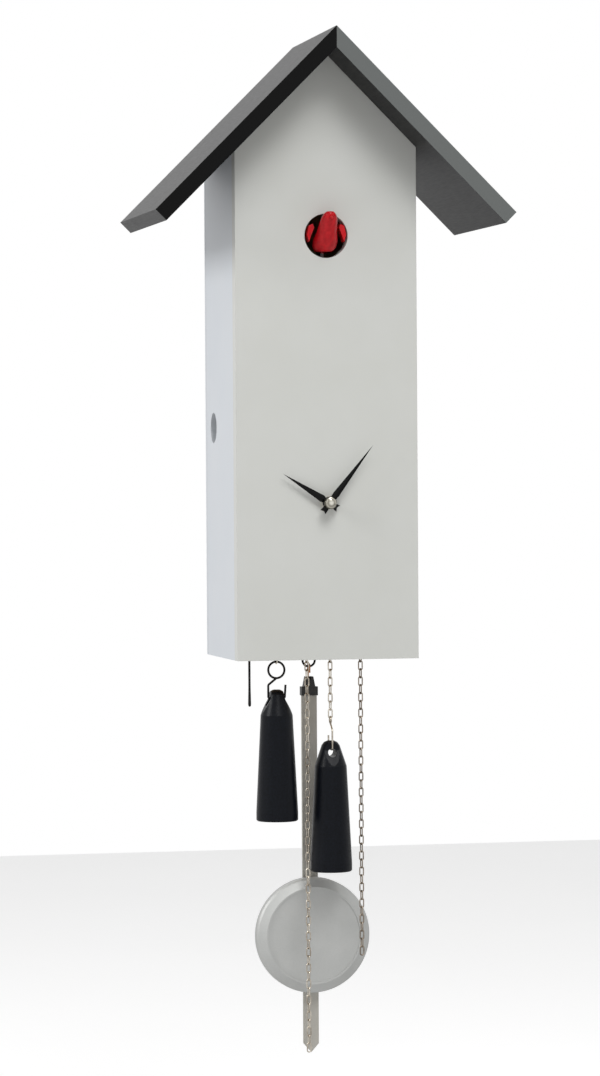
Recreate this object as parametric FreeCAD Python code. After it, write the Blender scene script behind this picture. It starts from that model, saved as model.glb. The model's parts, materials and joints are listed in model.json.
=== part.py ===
import FreeCAD, Part
import math
import os

# Modern weight-driven cuckoo clock: a house-shaped wooden case with an overhanging roof, a one-day
# brass movement with a time train and a strike train, a red carved cuckoo, chains, two iron
# weights and a pendulum.
#
# Sizes are in millimetres. Everything is placed from the front-bottom centre of the case:
# X to the right, Y from the front face towards the wall, Z up. save() then moves the origin to
# the hanging hole in the rear face of the back board.

# Case
CASE_W = 126.0
CASE_D = 108.0
SHOULDER_H = 348.4
FRONT_T = 10.0
SIDE_T = 8.0
BACK_T = 6.0
BOTTOM_T = 8.0
CUCKOO_HOLE_D = 30.0
CUCKOO_HOLE_Z = 287.6
HANDS_Z = 106.6
SOUND_HOLE_D = 21.0
SOUND_HOLE_Y = 79.0
SOUND_HOLE_Z = 158.6
HANG_R = 4.0
HANG_Z = 330.0

# Roof
ROOF_T = 10.3
ROOF_L = 175.1
ROOF_FRONT = 36.5

# Rear door
DOOR_W = 80.0
DOOR_H = 170.0
DOOR_Z = 36.0
DOOR_GAP = 0.8
DOOR_PIN_R = 1.2
DOOR_PIN_L = 12.0
DOOR_PIN_END = 1.0

# Fits
RUN = 0.05
FIT = 0.02
CLEAR = 0.3
SEAT = 0.3

# Movement
PLATE_W = 88.0
PLATE_T = 1.5
PLATE_Z = 50.0
PLATE_H = 100.0
FRONT_PLATE_Y = 22.0
REAR_PLATE_Y = 50.0
PIVOT_R = 0.8
ARBOR_R = 1.4
WHEEL_T = 1.6
POST_R = 3.0
PILLAR_WAIST_R = 2.2
PILLAR_END = 6.0
SPOKE_HALF = 1.5
RIM = 3.0
SMALL_RIM = 2.5
COLLET_R = 4.0
BOSS_R = 3.0
BOSS_T = 2.0
ARBOR_SLIM_R = 1.1
SECOND_T = 1.2
LEAF_END = 0.6
PIVOT_END = 0.6

# Trains: module, teeth, and where each arbor lies from the one that drives it
MODULE_1 = 0.6
MODULE_2 = 0.45
GREAT_TEETH = 78
CENTRE_TEETH = 52
SECOND_TEETH = 77
PINION_LEAVES = 7
ESCAPE_TEETH = 42
ESCAPE_R = 13.0
SECOND_ANGLE = 75.0
ESCAPE_ANGLE = 115.0
FLY_ANGLE = 100.0
CANNON_TEETH = 12
MOTION_TEETH = 36
MOTION_LEAVES = 10
HOUR_TEETH = 40
MOTION_DIST = 12.0
MOTION_ANGLE = 210.0
TIME_WHEEL_Y = 40.0
STRIKE_WHEEL_Y = 44.0
SECOND_WHEEL_Y = 47.0
ESCAPE_WHEEL_Y = 43.4
CANNON_Y = 19.3
HOUR_WHEEL_Y = 15.4
MOTION_T = 1.4
PRESSURE = math.radians(30)
ADDENDUM = 0.8
DEDENDUM = 1.15
THINNING = 0.80

# Chains
CHAIN_Y = 32.0
CHAIN_R = 10.7
SPROCKET_X = 18.9
LINK_WIRE = 0.85
LINK_W = 3.6
LINK_PITCH = 5.467
LINK_GAP = 0.06
LEFT_WEIGHT_LINKS = 14
RIGHT_WEIGHT_LINKS = 21
LEFT_FREE_LINKS = 63
RIGHT_FREE_LINKS = 51
CHAIN_TOP_DROP = 1.8
BEND_LINKS = 3
BEND_STEP = 28.5

# Weights
WEIGHT_H = 90.0
WEIGHT_BASE_R = 14.35
WEIGHT_SHOULDER_R = 11.0
WEIGHT_SHOULDER = 17.5
WEIGHT_TIP_R = 4.6
WEIGHT_TIP_STEP = 1.6
WEIGHT_ARCH = 3.2
WEIGHT_EDGE = 0.8
WEIGHT_BAND = 6.0
LUG_T = 7.6
LUG_DEEP = 17.5
LUG_FLARE = 7.4
LUG_WAIST = 6.6
LUG_WAIST_OUT = 1.2
LUG_HOLE_R = 3.0
LUG_HOLE = 8.2
LEFT_HOOK_WIRE = 1.5
LEFT_RING_R = 5.65
LEFT_HOOK_L = 13.5
RIGHT_HOOK_WIRE = 1.2
RIGHT_RING_R = 2.2
RIGHT_HOOK_L = 14.2
HOOK_HALF = 5.75
HOOK_BEND = 1.6
HOOK_SHOULDER = 4.6
HOOK_LEAN = 0.6
HOOK_OVER = 3.2

# Hands
HAND_T = 0.9
HAND_BOSS_R = 4.2
HAND_NECK = 1.5
HAND_NECK_Z = 3.36
HAND_BELLY = 0.15
HAND_FORK_OUT = 0.7
HAND_FORK_DEEP = 1.0
HOUR_HAND_W = 5.0
HOUR_HAND_TAIL = 7.5
MINUTE_HAND_W = 4.6
MINUTE_HAND_TAIL = 8.0
HOUR_HAND_L = 37.5
MINUTE_HAND_L = 49.4
HOUR_HAND_ANGLE = -58.0
MINUTE_HAND_ANGLE = 37.9
HOUR_HAND_Y = -4.6
MINUTE_HAND_Y = -7.6
NUT_R = 4.35
NUT_FRONT = -12.0

# Pendulum
PIVOT_Z = 134.0
PENDULUM_Y = 63.0
LEADER_R = 0.75
LEADER_HALF = 4.35
LEADER_BOTTOM = -8.3
LEADER_JOG_TOP = 40.0
LEADER_JOG_END = 24.0
LEADER_END = 5.0
LEADER_BEND = 6.0
LEADER_EYE_R = 3.6
LEADER_EYE_T = 2.4
COLLAR_TOP = -21.5
COLLAR_BOTTOM = -27.6
COLLAR_W = 11.6
ROD_W = 10.6
ROD_T = 3.0
ROD_TIP = -276.0
ROD_POINT = 6.0
BOB_R = 40.0
BOB_T = 12.0
BOB_Z = -193.6
BOB_FACE_R = 32.5
BOB_SLOPE = 3.0
BOB_EDGE = 1.2
BOB_LIP = 1.2
BOB_SUNK = 0.8

# Cuckoo
BIRD_LEG_Y = 13.0
BIRD_LEG_R = 1.4
BIRD_PIVOT_Z = 264.0
SHELF_Z = 246.0
BELLOWS_W = 20.0
BELLOWS_D = 26.0
BELLOWS_X = 44.0
BELLOWS_Y = 46.0
BELLOWS_Z0 = 182.0
BELLOWS_Z1 = 262.0
CLOTH_H = 9.0
LID_T = 3.0

# Gong
GONG_Z = 226.0
GONG_Y = 84.0
GONG_WIRE = 1.6
GONG_TURNS = 3.5
GONG_R = 27.0
GONG_PITCH = 4.6
HAMMER_X = -37.0
HAMMER_Z = 132.0
HAMMER_GAP = 1.2

# Night-off lever
LEVER_X = -45.8
LEVER_Y = 45.0
LEVER_R = 0.8
LEVER_BOTTOM = -33.7
LEVER_TOP = 36.0
LEVER_LOOP_H = 14.0
LEVER_LOOP_HALF = 1.2
LEVER_HEAD_HALF = 2.0
LEVER_HEAD_L = 8.0
LEVER_HEAD_T = 3.0
LEVER_STOP_R = 2.4
LEVER_STOP_T = 2.0

X_AXIS = FreeCAD.Vector(1, 0, 0)
Y_AXIS = FreeCAD.Vector(0, 1, 0)
Z_AXIS = FreeCAD.Vector(0, 0, 1)
EPS = 1.0


def vec(x, y, z):
    return FreeCAD.Vector(x, y, z)


def box(x0, x1, y0, y1, z0, z1):
    return Part.makeBox(x1 - x0, y1 - y0, z1 - z0, vec(x0, y0, z0))


def rod(x, y0, y1, z, r):
    """A round bar along Y."""
    return Part.makeCylinder(r, y1 - y0, vec(x, y0, z), Y_AXIS)


def upright(x, y, z0, z1, r):
    """A round bar along Z."""
    return Part.makeCylinder(r, z1 - z0, vec(x, y, z0), Z_AXIS)


def plate_from(points, y0, y1):
    """A flat board in the XZ plane, between two depths."""
    corners = [vec(x, y0, z) for x, z in points]
    face = Part.Face(Part.makePolygon(corners + [corners[0]]))
    return face.extrude(vec(0, y1 - y0, 0))


def turned(profile):
    """A solid turned about the Z axis, from (radius, height) points that start and end on it."""
    corners = [vec(r, 0, h) for r, h in profile]
    face = Part.Face(Part.makePolygon(corners + [corners[0]]))
    return face.revolve(vec(0, 0, 0), Z_AXIS, 360)


def wire_along(edges, r):
    """A round wire bent along a path of edges."""
    path = Part.Wire(edges)
    start = edges[0].Vertexes[0].Point
    first = edges[0]
    along = first.tangentAt(first.FirstParameter)
    section = Part.Wire(Part.makeCircle(r, start, along))
    return path.makePipeShell([section], True, False)


def line(a, b):
    return Part.LineSegment(a, b).toShape()


def arc(a, b, c):
    return Part.Arc(a, b, c).toShape()


def bent(points, radius):
    """Straight runs through the points, joined by tangent arcs of one radius."""
    edges = []
    last = points[0]
    for before, corner, after in zip(points, points[1:], points[2:]):
        u = (before - corner).normalize()
        w = (after - corner).normalize()
        half = u.getAngle(w) / 2
        cut = radius / math.tan(half)
        start = corner + u * cut
        end = corner + w * cut
        centre = corner + (u + w).normalize() * (radius / math.sin(half))
        middle = centre + (corner - centre).normalize() * radius
        edges.append(line(last, start))
        edges.append(arc(start, middle, end))
        last = end
    edges.append(line(last, points[-1]))
    return edges


def save(name, *solids):
    """Writes one node, with the origin moved to the hanging hole."""
    shape = Part.makeCompound(list(solids)) if len(solids) > 1 else solids[0].copy()
    shape.translate(vec(0, -CASE_D, -HANG_Z))
    shape.exportStep("parts/" + name + ".step")


# ---------------------------------------------------------------- case

SIDE_IN = CASE_W / 2 - SIDE_T
INNER_APEX = SHOULDER_H + CASE_W / 2
SHELL_BACK = CASE_D - BACK_T


def gable(half, z0):
    """The outline of the house front, whose slopes meet the underside of the roof."""
    top = INNER_APEX - half
    return [(-half, z0), (half, z0), (half, top), (0, INNER_APEX), (-half, top)]


PIPE_CLEAR = 1.0


def front_panel():
    board = plate_from(gable(CASE_W / 2, 0), 0, FRONT_T)
    board = board.cut(rod(0, -EPS, FRONT_T + EPS, CUCKOO_HOLE_Z, CUCKOO_HOLE_D / 2))
    board = board.cut(rod(0, -EPS, FRONT_T + EPS, HANDS_Z, HOUR_PIPE_R + PIPE_CLEAR))
    for x, z in POST_PLACES:
        board = board.cut(rod(x, FRONT_T - PANEL_SCREW_L, FRONT_T + EPS, z, PIVOT_R))
    return board


def side_panel(side):
    inner = side * SIDE_IN
    outer = side * CASE_W / 2
    points = [(inner, 0), (outer, 0), (outer, SHOULDER_H), (inner, SHOULDER_H + SIDE_T)]
    board = plate_from(points, FRONT_T, SHELL_BACK)
    hole = Part.makeCylinder(SOUND_HOLE_D / 2, CASE_W, vec(0, SOUND_HOLE_Y, SOUND_HOLE_Z), X_AXIS * side)
    return board.cut(hole)


CHAIN_SLOT_MARGIN = 2.4
CHAIN_SLOT_X0 = SPROCKET_X - CHAIN_R - LINK_W / 2 - CHAIN_SLOT_MARGIN
CHAIN_SLOT_X1 = SPROCKET_X + CHAIN_R + LINK_W / 2 + CHAIN_SLOT_MARGIN
SLOT_HALF = 6.0
PENDULUM_SLOT_HALF = 18.0


def bottom_board():
    board = box(-SIDE_IN, SIDE_IN, FRONT_T, SHELL_BACK, 0, BOTTOM_T)
    for side in (-1, 1):
        low, high = sorted((side * CHAIN_SLOT_X0, side * CHAIN_SLOT_X1))
        board = board.cut(box(low, high, CHAIN_Y - SLOT_HALF, CHAIN_Y + SLOT_HALF, -EPS, BOTTOM_T + EPS))
    half = PENDULUM_SLOT_HALF
    board = board.cut(box(-half, half, PENDULUM_Y - SLOT_HALF, PENDULUM_Y + SLOT_HALF, -EPS, BOTTOM_T + EPS))
    lever = upright(LEVER_X, LEVER_Y, -EPS, BOTTOM_T + EPS, LEVER_R + CLEAR)
    return board.cut(lever)


DOOR_HINGE_X = -DOOR_W / 2 + BACK_T / 2 + DOOR_GAP
DOOR_HINGE_Y = CASE_D - BACK_T / 2


def back_board():
    board = plate_from(gable(CASE_W / 2, 0), SHELL_BACK, CASE_D)
    opening = box(-DOOR_W / 2, DOOR_W / 2, SHELL_BACK - EPS, CASE_D + EPS, DOOR_Z, DOOR_Z + DOOR_H)
    board = board.cut(opening)
    board = board.cut(rod(0, SHELL_BACK - EPS, CASE_D + EPS, HANG_Z, HANG_R))
    for z in (DOOR_Z - DOOR_PIN_L / 2, DOOR_Z + DOOR_H - DOOR_PIN_L / 2):
        board = board.cut(upright(DOOR_HINGE_X, DOOR_HINGE_Y, z, z + DOOR_PIN_L, DOOR_PIN_R + RUN))
    for x, z in BACK_SCREW_PLACES:
        board = board.cut(countersunk(x, z))
    return board


def rear_door():
    low = DOOR_Z + DOOR_GAP
    high = DOOR_Z + DOOR_H - DOOR_GAP
    edge = DOOR_W / 2 - DOOR_GAP
    board = box(DOOR_HINGE_X, edge, SHELL_BACK, CASE_D, low, high)
    stile = Part.makeCylinder(BACK_T / 2, high - low, vec(DOOR_HINGE_X, DOOR_HINGE_Y, low), Z_AXIS)
    board = board.fuse(stile)
    for z in (low, high - DOOR_PIN_L / 2):
        board = board.cut(upright(DOOR_HINGE_X, DOOR_HINGE_Y, z, z + DOOR_PIN_L / 2, DOOR_PIN_R + FIT))
    board = board.removeSplitter()
    board = board.cut(rod(LATCH_X, SHELL_BACK - EPS, CASE_D + EPS, LATCH_Z, LATCH_R + RUN))
    board = board.cut(rod(LATCH_X, CASE_D - LATCH_HEAD_T - CLEAR, CASE_D + EPS, LATCH_Z, LATCH_HEAD_R + CLEAR))
    stub = DOOR_PIN_L / 2
    lower_pin = upright(DOOR_HINGE_X, DOOR_HINGE_Y, low - stub + DOOR_PIN_END, low + stub, DOOR_PIN_R)
    upper_pin = upright(DOOR_HINGE_X, DOOR_HINGE_Y, high - stub, high + stub - DOOR_PIN_END, DOOR_PIN_R)
    return [board, lower_pin, upper_pin]


LATCH_INSET = 9.0
LATCH_X = DOOR_W / 2 - DOOR_GAP - LATCH_INSET
LATCH_Z = DOOR_Z + DOOR_H / 2
LATCH_R = 2.0
LATCH_HEAD_R = 4.5
LATCH_HEAD_T = 2.0
LATCH_TAB_L = 12.0
LATCH_TAB_HALF = 4.0
LATCH_TAB_T = 2.7
SINK = 0.2
SCREW_SLOT_HALF = 0.5
SCREW_SLOT_DEEP = 0.8


def door_latch():
    """A turn latch in the door: a slotted head sunk in the rear face, a spindle and a tab inside."""
    low = LATCH_Z - LATCH_TAB_L
    high = LATCH_Z + LATCH_TAB_L
    inside = SHELL_BACK - CLEAR
    tab = box(LATCH_X - LATCH_TAB_HALF, LATCH_X + LATCH_TAB_HALF, inside - LATCH_TAB_T, inside, low, high)
    spindle = rod(LATCH_X, inside, CASE_D - LATCH_HEAD_T, LATCH_Z, LATCH_R)
    face = CASE_D - SINK
    head = rod(LATCH_X, CASE_D - LATCH_HEAD_T, face, LATCH_Z, LATCH_HEAD_R)
    return tab.fuse([spindle, head]).cut(screw_slot(LATCH_X, LATCH_Z, LATCH_HEAD_R, face))


def screw_slot(x, z, r, face):
    """The cut across a screw's head, for a driver."""
    return box(x - SCREW_SLOT_HALF, x + SCREW_SLOT_HALF, face - SCREW_SLOT_DEEP, face + EPS, z - r, z + r)


def roof_plank(side):
    across = math.cos(math.radians(45))
    rise = ROOF_T / across
    outer = (side * ROOF_L * across, INNER_APEX + rise - ROOF_L * across)
    inner = (outer[0] - side * ROOF_T * across, outer[1] - ROOF_T * across)
    points = [(0, INNER_APEX), (0, INNER_APEX + rise), outer, inner]
    return plate_from(points, -ROOF_FRONT, SHELL_BACK)


RIDGE_BLOCK = 14.0
BLOCK_L = 26.0
CORNER_BLOCK_W = 8.0
CORNER_BLOCK_D = 12.0


def glue_blocks():
    """Three-cornered blocks under the ridge and square ones in the lower corners."""
    blocks = []
    floor = INNER_APEX - RIDGE_BLOCK
    points = [(-RIDGE_BLOCK, floor), (RIDGE_BLOCK, floor), (0, INNER_APEX)]
    for y0 in (FRONT_T, SHELL_BACK - BLOCK_L):
        blocks.append(plate_from(points, y0, y0 + BLOCK_L))
    for side in (-1, 1):
        low, high = sorted((side * SIDE_IN, side * (SIDE_IN - CORNER_BLOCK_W)))
        for y0 in (FRONT_T, SHELL_BACK - CORNER_BLOCK_D):
            blocks.append(box(low, high, y0, y0 + CORNER_BLOCK_D, BOTTOM_T, BOTTOM_T + BLOCK_L))
    return blocks


# ---------------------------------------------------------------- fasteners

BACK_SCREW_INSET = 17.0
BACK_SCREW_HEIGHTS = (BACK_SCREW_INSET, SHOULDER_H / 2, SHOULDER_H - BACK_SCREW_INSET)
BACK_SCREW_PLACES = [(side * (CASE_W / 2 - SIDE_T / 2), z) for side in (-1, 1) for z in BACK_SCREW_HEIGHTS]
BACK_SCREW_R = 1.5
BACK_SCREW_HEAD_R = 3.0
PANEL_SCREW_L = 8.0
SCREW_END = 1.0
PLATE_NUT_R = 2.8
PLATE_NUT_T = 1.8


BACK_SCREW_HEAD_T = BACK_SCREW_HEAD_R - BACK_SCREW_R


def countersunk(x, z):
    """The hole for a countersunk wood screw, driven in from the rear face."""
    shank = rod(x, SHELL_BACK - EPS, CASE_D + EPS, z, BACK_SCREW_R + CLEAR)
    place = vec(x, CASE_D - BACK_SCREW_HEAD_T, z)
    head = Part.makeCone(BACK_SCREW_R + CLEAR, BACK_SCREW_HEAD_R + CLEAR, BACK_SCREW_HEAD_T, place, Y_AXIS)
    return shank.fuse(head)


def case_screws():
    """Countersunk screws through the back board, up to the side panels' rear edges."""
    screws = []
    neck = CASE_D - SINK - BACK_SCREW_HEAD_T
    for x, z in BACK_SCREW_PLACES:
        head = Part.makeCone(BACK_SCREW_R, BACK_SCREW_HEAD_R, BACK_SCREW_HEAD_T, vec(x, neck, z), Y_AXIS)
        shank = rod(x, SHELL_BACK + SINK, neck, z, BACK_SCREW_R)
        screws.append(head.fuse(shank).cut(screw_slot(x, z, BACK_SCREW_HEAD_R, CASE_D - SINK)))
    return screws


POST_INSET = 4.2
POST_PLACES = [
    (side * (PLATE_W / 2 - POST_INSET), z) for side in (-1, 1)
    for z in (PLATE_Z + POST_INSET, PLATE_Z + PLATE_H - POST_INSET)
]


def movement_posts():
    """Turned brass feet from the front panel to the front plate, and pillars from plate to plate."""
    posts = []
    front = FRONT_PLATE_Y + PLATE_T
    for x, z in POST_PLACES:
        foot = rod(x, FRONT_T, FRONT_PLATE_Y, z, POST_R)
        posts.append(foot.cut(rod(x, FRONT_T - EPS, FRONT_PLATE_Y + EPS, z, PIVOT_R + CLEAR)))
        pillar = rod(x, front, front + PILLAR_END, z, POST_R)
        waist = rod(x, front + PILLAR_END, REAR_PLATE_Y - PILLAR_END, z, PILLAR_WAIST_R)
        end = rod(x, REAR_PLATE_Y - PILLAR_END, REAR_PLATE_Y, z, POST_R)
        socket = rod(x, FRONT_PLATE_Y, front + PILLAR_END - CLEAR, z, PIVOT_R + CLEAR)
        posts.append(pillar.fuse([waist, end]).cut(socket))
    return posts


def movement_screws():
    """Long screws from the pillars through the feet into the front panel, and nuts behind the rear plate."""
    pieces = []
    front = FRONT_PLATE_Y + PLATE_T
    for x, z in POST_PLACES:
        pieces.append(rod(x, FRONT_T - PANEL_SCREW_L + SCREW_END, front + PILLAR_END - SCREW_END, z, PIVOT_R))
        pieces.append(hexagon(x, z, PLATE_NUT_R, REAR_PLATE_Y + PLATE_T, REAR_PLATE_Y + PLATE_T + PLATE_NUT_T))
    return pieces


def hexagon(x, z, r, y0, y1):
    points = [(x + r * math.cos(math.pi * k / 3), z + r * math.sin(math.pi * k / 3)) for k in range(6)]
    return plate_from(points, y0, y1)


# ---------------------------------------------------------------- trains

def involute(t):
    return math.tan(t) - t


def toothed(centre, teeth, module, phase, y0, y1, steps):
    """A spur gear with thinned, shortened involute teeth; one tooth points along phase."""
    r = module * teeth / 2
    tip = r + ADDENDUM * module
    root = r - DEDENDUM * module
    base = r * math.cos(PRESSURE)
    low = max(base, root)
    half_pitch = math.pi / (2 * teeth) * THINNING
    radii = [low + (tip - low) * k / steps for k in range(steps + 1)]

    def half_angle(radius):
        return half_pitch + involute(PRESSURE) - involute(math.acos(min(1.0, base / radius)))

    points = []
    for tooth in range(teeth):
        middle = phase + 2 * math.pi * tooth / teeth
        if root < low:
            points.append((root, middle - half_angle(low)))
        points += [(radius, middle - half_angle(radius)) for radius in radii]
        points += [(radius, middle + half_angle(radius)) for radius in reversed(radii)]
        if root < low:
            points.append((root, middle + half_angle(low)))
    x, z = centre
    return plate_from([(x + radius * math.cos(a), z + radius * math.sin(a)) for radius, a in points], y0, y1)


def away(centre, distance, degrees):
    angle = math.radians(degrees)
    return (centre[0] + distance * math.cos(angle), centre[1] + distance * math.sin(angle))


def heading(a, b):
    return math.atan2(b[1] - a[1], b[0] - a[0])


def meshed(phase, teeth, centre, other_teeth, other_centre):
    """The phase that puts another gear in mesh with one whose phase is known."""
    toward = heading(centre, other_centre)
    offset = (phase - toward) * teeth / other_teeth
    return toward + math.pi + math.pi / other_teeth - offset


GREAT_R = MODULE_1 * GREAT_TEETH / 2
CENTRE_R = MODULE_1 * CENTRE_TEETH / 2
SECOND_R = MODULE_2 * SECOND_TEETH / 2
GREAT_DIST = GREAT_R + CENTRE_R
SECOND_DIST = MODULE_1 * (GREAT_TEETH + PINION_LEAVES) / 2
THIRD_DIST = MODULE_2 * (SECOND_TEETH + PINION_LEAVES) / 2
SPROCKET_Z = HANDS_Z - math.sqrt(GREAT_DIST ** 2 - SPROCKET_X ** 2)

CENTRE = (0.0, HANDS_Z)
TIME = (SPROCKET_X, SPROCKET_Z)
STRIKE = (-SPROCKET_X, SPROCKET_Z)
THIRD = away(TIME, SECOND_DIST, SECOND_ANGLE)
ESCAPE = away(THIRD, THIRD_DIST, ESCAPE_ANGLE)
PIN = away(STRIKE, SECOND_DIST, 180 - SECOND_ANGLE)
FLY = away(PIN, THIRD_DIST, FLY_ANGLE)
MOTION = away(CENTRE, MOTION_DIST, MOTION_ANGLE)
VERGE = (0.0, PIVOT_Z)
HAMMER = (HAMMER_X, HAMMER_Z)

MINUTE_R = 1.2
THREAD_L = 2.2
STUD_END = 1.5
CANNON_R = 2.0
HOUR_PIPE_IN = MINUTE_R + RUN
HOUR_PIPE_R = 2.6
MOTION_MODULE = 2 * MOTION_DIST / (CANNON_TEETH + MOTION_TEETH)
HOUR_MODULE = 2 * MOTION_DIST / (MOTION_LEAVES + HOUR_TEETH)


def tapered(root, root_half, tip, tip_half, y0, y1):
    """A flat finger that narrows from one point to another."""
    across = math.degrees(heading(root, tip)) + 90
    corners = [
        away(root, root_half, across), away(tip, tip_half, across),
        away(tip, -tip_half, across), away(root, -root_half, across),
    ]
    return plate_from(corners, y0, y1)


def spokes(wheel, centre, y0, y1, inner, outer, count):
    """Cuts the openings between a wheel's spokes."""
    ring = rod(centre[0], y0 - EPS, y1 + EPS, centre[1], outer)
    ring = ring.cut(rod(centre[0], y0 - EPS, y1 + EPS, centre[1], inner))
    for k in range(count):
        bar = box(-SPOKE_HALF, SPOKE_HALF, y0 - EPS, y1 + EPS, 0, outer + EPS)
        bar.rotate(vec(0, 0, 0), Y_AXIS, 360 * k / count)
        bar.translate(vec(centre[0], 0, centre[1]))
        ring = ring.cut(bar)
    return wheel.cut(ring)


REAR_END = REAR_PLATE_Y + PLATE_T + PIVOT_END


def arbor(centre, r, rear=REAR_END):
    """A steel arbor between the plates, with a thinner pivot at each end."""
    x, z = centre
    bar = rod(x, FRONT_PLATE_Y + PLATE_T + CLEAR, REAR_PLATE_Y - CLEAR, z, r)
    return bar.fuse(rod(x, FRONT_PLATE_Y - PIVOT_END, rear, z, PIVOT_R))


def front_plate():
    plate = box(-PLATE_W / 2, PLATE_W / 2, FRONT_PLATE_Y, FRONT_PLATE_Y + PLATE_T, PLATE_Z, PLATE_Z + PLATE_H)
    y1 = FRONT_PLATE_Y + PLATE_T + EPS
    for x, z in (TIME, STRIKE, THIRD, ESCAPE, PIN, FLY, VERGE, HAMMER):
        plate = plate.cut(rod(x, FRONT_PLATE_Y - EPS, y1, z, PIVOT_R + RUN))
    plate = plate.cut(rod(CENTRE[0], FRONT_PLATE_Y - EPS, y1, CENTRE[1], MINUTE_R + RUN))
    for x, z in POST_PLACES:
        plate = plate.cut(rod(x, FRONT_PLATE_Y - EPS, y1, z, PIVOT_R + CLEAR))
    stud = rod(MOTION[0], HOUR_WHEEL_Y - STUD_END, FRONT_PLATE_Y, MOTION[1], PIVOT_R)
    return plate.fuse(stud)


def rear_plate():
    y0 = REAR_PLATE_Y
    plate = box(-PLATE_W / 2, PLATE_W / 2, y0, y0 + PLATE_T, PLATE_Z, PLATE_Z + PLATE_H)
    for x, z in (TIME, STRIKE, THIRD, ESCAPE, PIN, FLY, VERGE, CENTRE, HAMMER):
        plate = plate.cut(rod(x, y0 - EPS, y0 + PLATE_T + EPS, z, PIVOT_R + RUN))
    return plate


def centre_arbor():
    x, z = CENTRE
    bar = rod(x, MINUTE_HAND_Y - THREAD_L, REAR_PLATE_Y - CLEAR, z, MINUTE_R)
    return bar.fuse(rod(x, REAR_PLATE_Y - CLEAR, REAR_END, z, PIVOT_R))


GREAT_PHASE = heading(TIME, CENTRE)
CENTRE_PHASE = meshed(GREAT_PHASE, GREAT_TEETH, TIME, CENTRE_TEETH, CENTRE)


def centre_gear():
    """The centre wheel, which slips on its arbor when the hands are set."""
    x, z = CENTRE
    y1 = TIME_WHEEL_Y + WHEEL_T
    wheel = toothed(CENTRE, CENTRE_TEETH, MODULE_1, CENTRE_PHASE, TIME_WHEEL_Y, y1, 1)
    wheel = spokes(wheel, CENTRE, TIME_WHEEL_Y, y1, COLLET_R, CENTRE_R - RIM, 5)
    wheel = wheel.fuse(rod(x, y1, y1 + BOSS_T, z, BOSS_R))
    return wheel.cut(rod(x, TIME_WHEEL_Y - EPS, y1 + BOSS_T + EPS, z, MINUTE_R + RUN))


CANNON_PHASE = heading(CENTRE, MOTION)
MOTION_PHASE = meshed(CANNON_PHASE, CANNON_TEETH, CENTRE, MOTION_TEETH, MOTION)
LEAVES_PHASE = heading(MOTION, CENTRE)
HOUR_PHASE = meshed(LEAVES_PHASE, MOTION_LEAVES, MOTION, HOUR_TEETH, CENTRE)


def cannon_pinion():
    x, z = CENTRE
    pinion = toothed(CENTRE, CANNON_TEETH, MOTION_MODULE, CANNON_PHASE, CANNON_Y, CANNON_Y + MOTION_T, 3)
    pinion = pinion.fuse(rod(x, HOUR_WHEEL_Y + MOTION_T + CLEAR, CANNON_Y, z, CANNON_R))
    return pinion.cut(rod(x, HOUR_WHEEL_Y, CANNON_Y + MOTION_T + EPS, z, MINUTE_R))


def motion_wheel():
    x, z = MOTION
    wheel = toothed(MOTION, MOTION_TEETH, MOTION_MODULE, MOTION_PHASE, CANNON_Y, CANNON_Y + MOTION_T, 2)
    leaves = toothed(MOTION, MOTION_LEAVES, HOUR_MODULE, LEAVES_PHASE, HOUR_WHEEL_Y, CANNON_Y, 3)
    return wheel.fuse(leaves).cut(rod(x, HOUR_WHEEL_Y - EPS, CANNON_Y + MOTION_T + EPS, z, PIVOT_R + RUN))


def hour_wheel():
    """The hour wheel and its pipe, which runs on the minute arbor and carries the hour hand."""
    x, z = CENTRE
    wheel = toothed(CENTRE, HOUR_TEETH, HOUR_MODULE, HOUR_PHASE, HOUR_WHEEL_Y, HOUR_WHEEL_Y + MOTION_T, 2)
    wheel = wheel.fuse(rod(x, HOUR_HAND_Y, HOUR_WHEEL_Y, z, HOUR_PIPE_R))
    return wheel.cut(rod(x, HOUR_HAND_Y - EPS, HOUR_WHEEL_Y + MOTION_T + EPS, z, HOUR_PIPE_IN))


FLANGE_OVER = 2.2
FLANGE_R = CHAIN_R + FLANGE_OVER
FLANGE_T = 1.0
GROOVE_HALF = LINK_W / 2 + CLEAR
HUB_R = CHAIN_R - LINK_W / 2 - CLEAR
RATCHET_T = 1.4


def sprocket(centre):
    """A chain wheel with its ratchet on its arbor; the great wheel runs loose on the same arbor."""
    x, z = centre
    bar = arbor(centre, ARBOR_R)
    hub = rod(x, CHAIN_Y - GROOVE_HALF, CHAIN_Y + GROOVE_HALF, z, HUB_R)
    front = rod(x, CHAIN_Y - GROOVE_HALF - FLANGE_T, CHAIN_Y - GROOVE_HALF, z, FLANGE_R)
    rear = rod(x, CHAIN_Y + GROOVE_HALF, CHAIN_Y + GROOVE_HALF + FLANGE_T, z, FLANGE_R)
    ratchet = ratchet_wheel(centre, CHAIN_Y + GROOVE_HALF + FLANGE_T)
    return bar.fuse([hub, front, rear, ratchet])


RATCHET_R = 9.0
RATCHET_TEETH = 16
RATCHET_DEEP = 1.6
RATCHET_RAKE = 2.0
CLICK_POST_R = 1.2
CLICK_POST_OUT = 3.4
CLICK_POST_ANGLE = 200.0
CLICK_TIP_R = 0.5
CLICK_TIP_OUT = 1.0
CLICK_TIP_ANGLE = 232.0
GREAT_HUB_R = 14.5


def ratchet_wheel(centre, y0):
    points = []
    for k in range(RATCHET_TEETH):
        degrees = 360.0 * k / RATCHET_TEETH
        points.append(away(centre, RATCHET_R, degrees))
        points.append(away(centre, RATCHET_R - RATCHET_DEEP, degrees + RATCHET_RAKE))
    return plate_from(points, y0, y0 + RATCHET_T)


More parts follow.
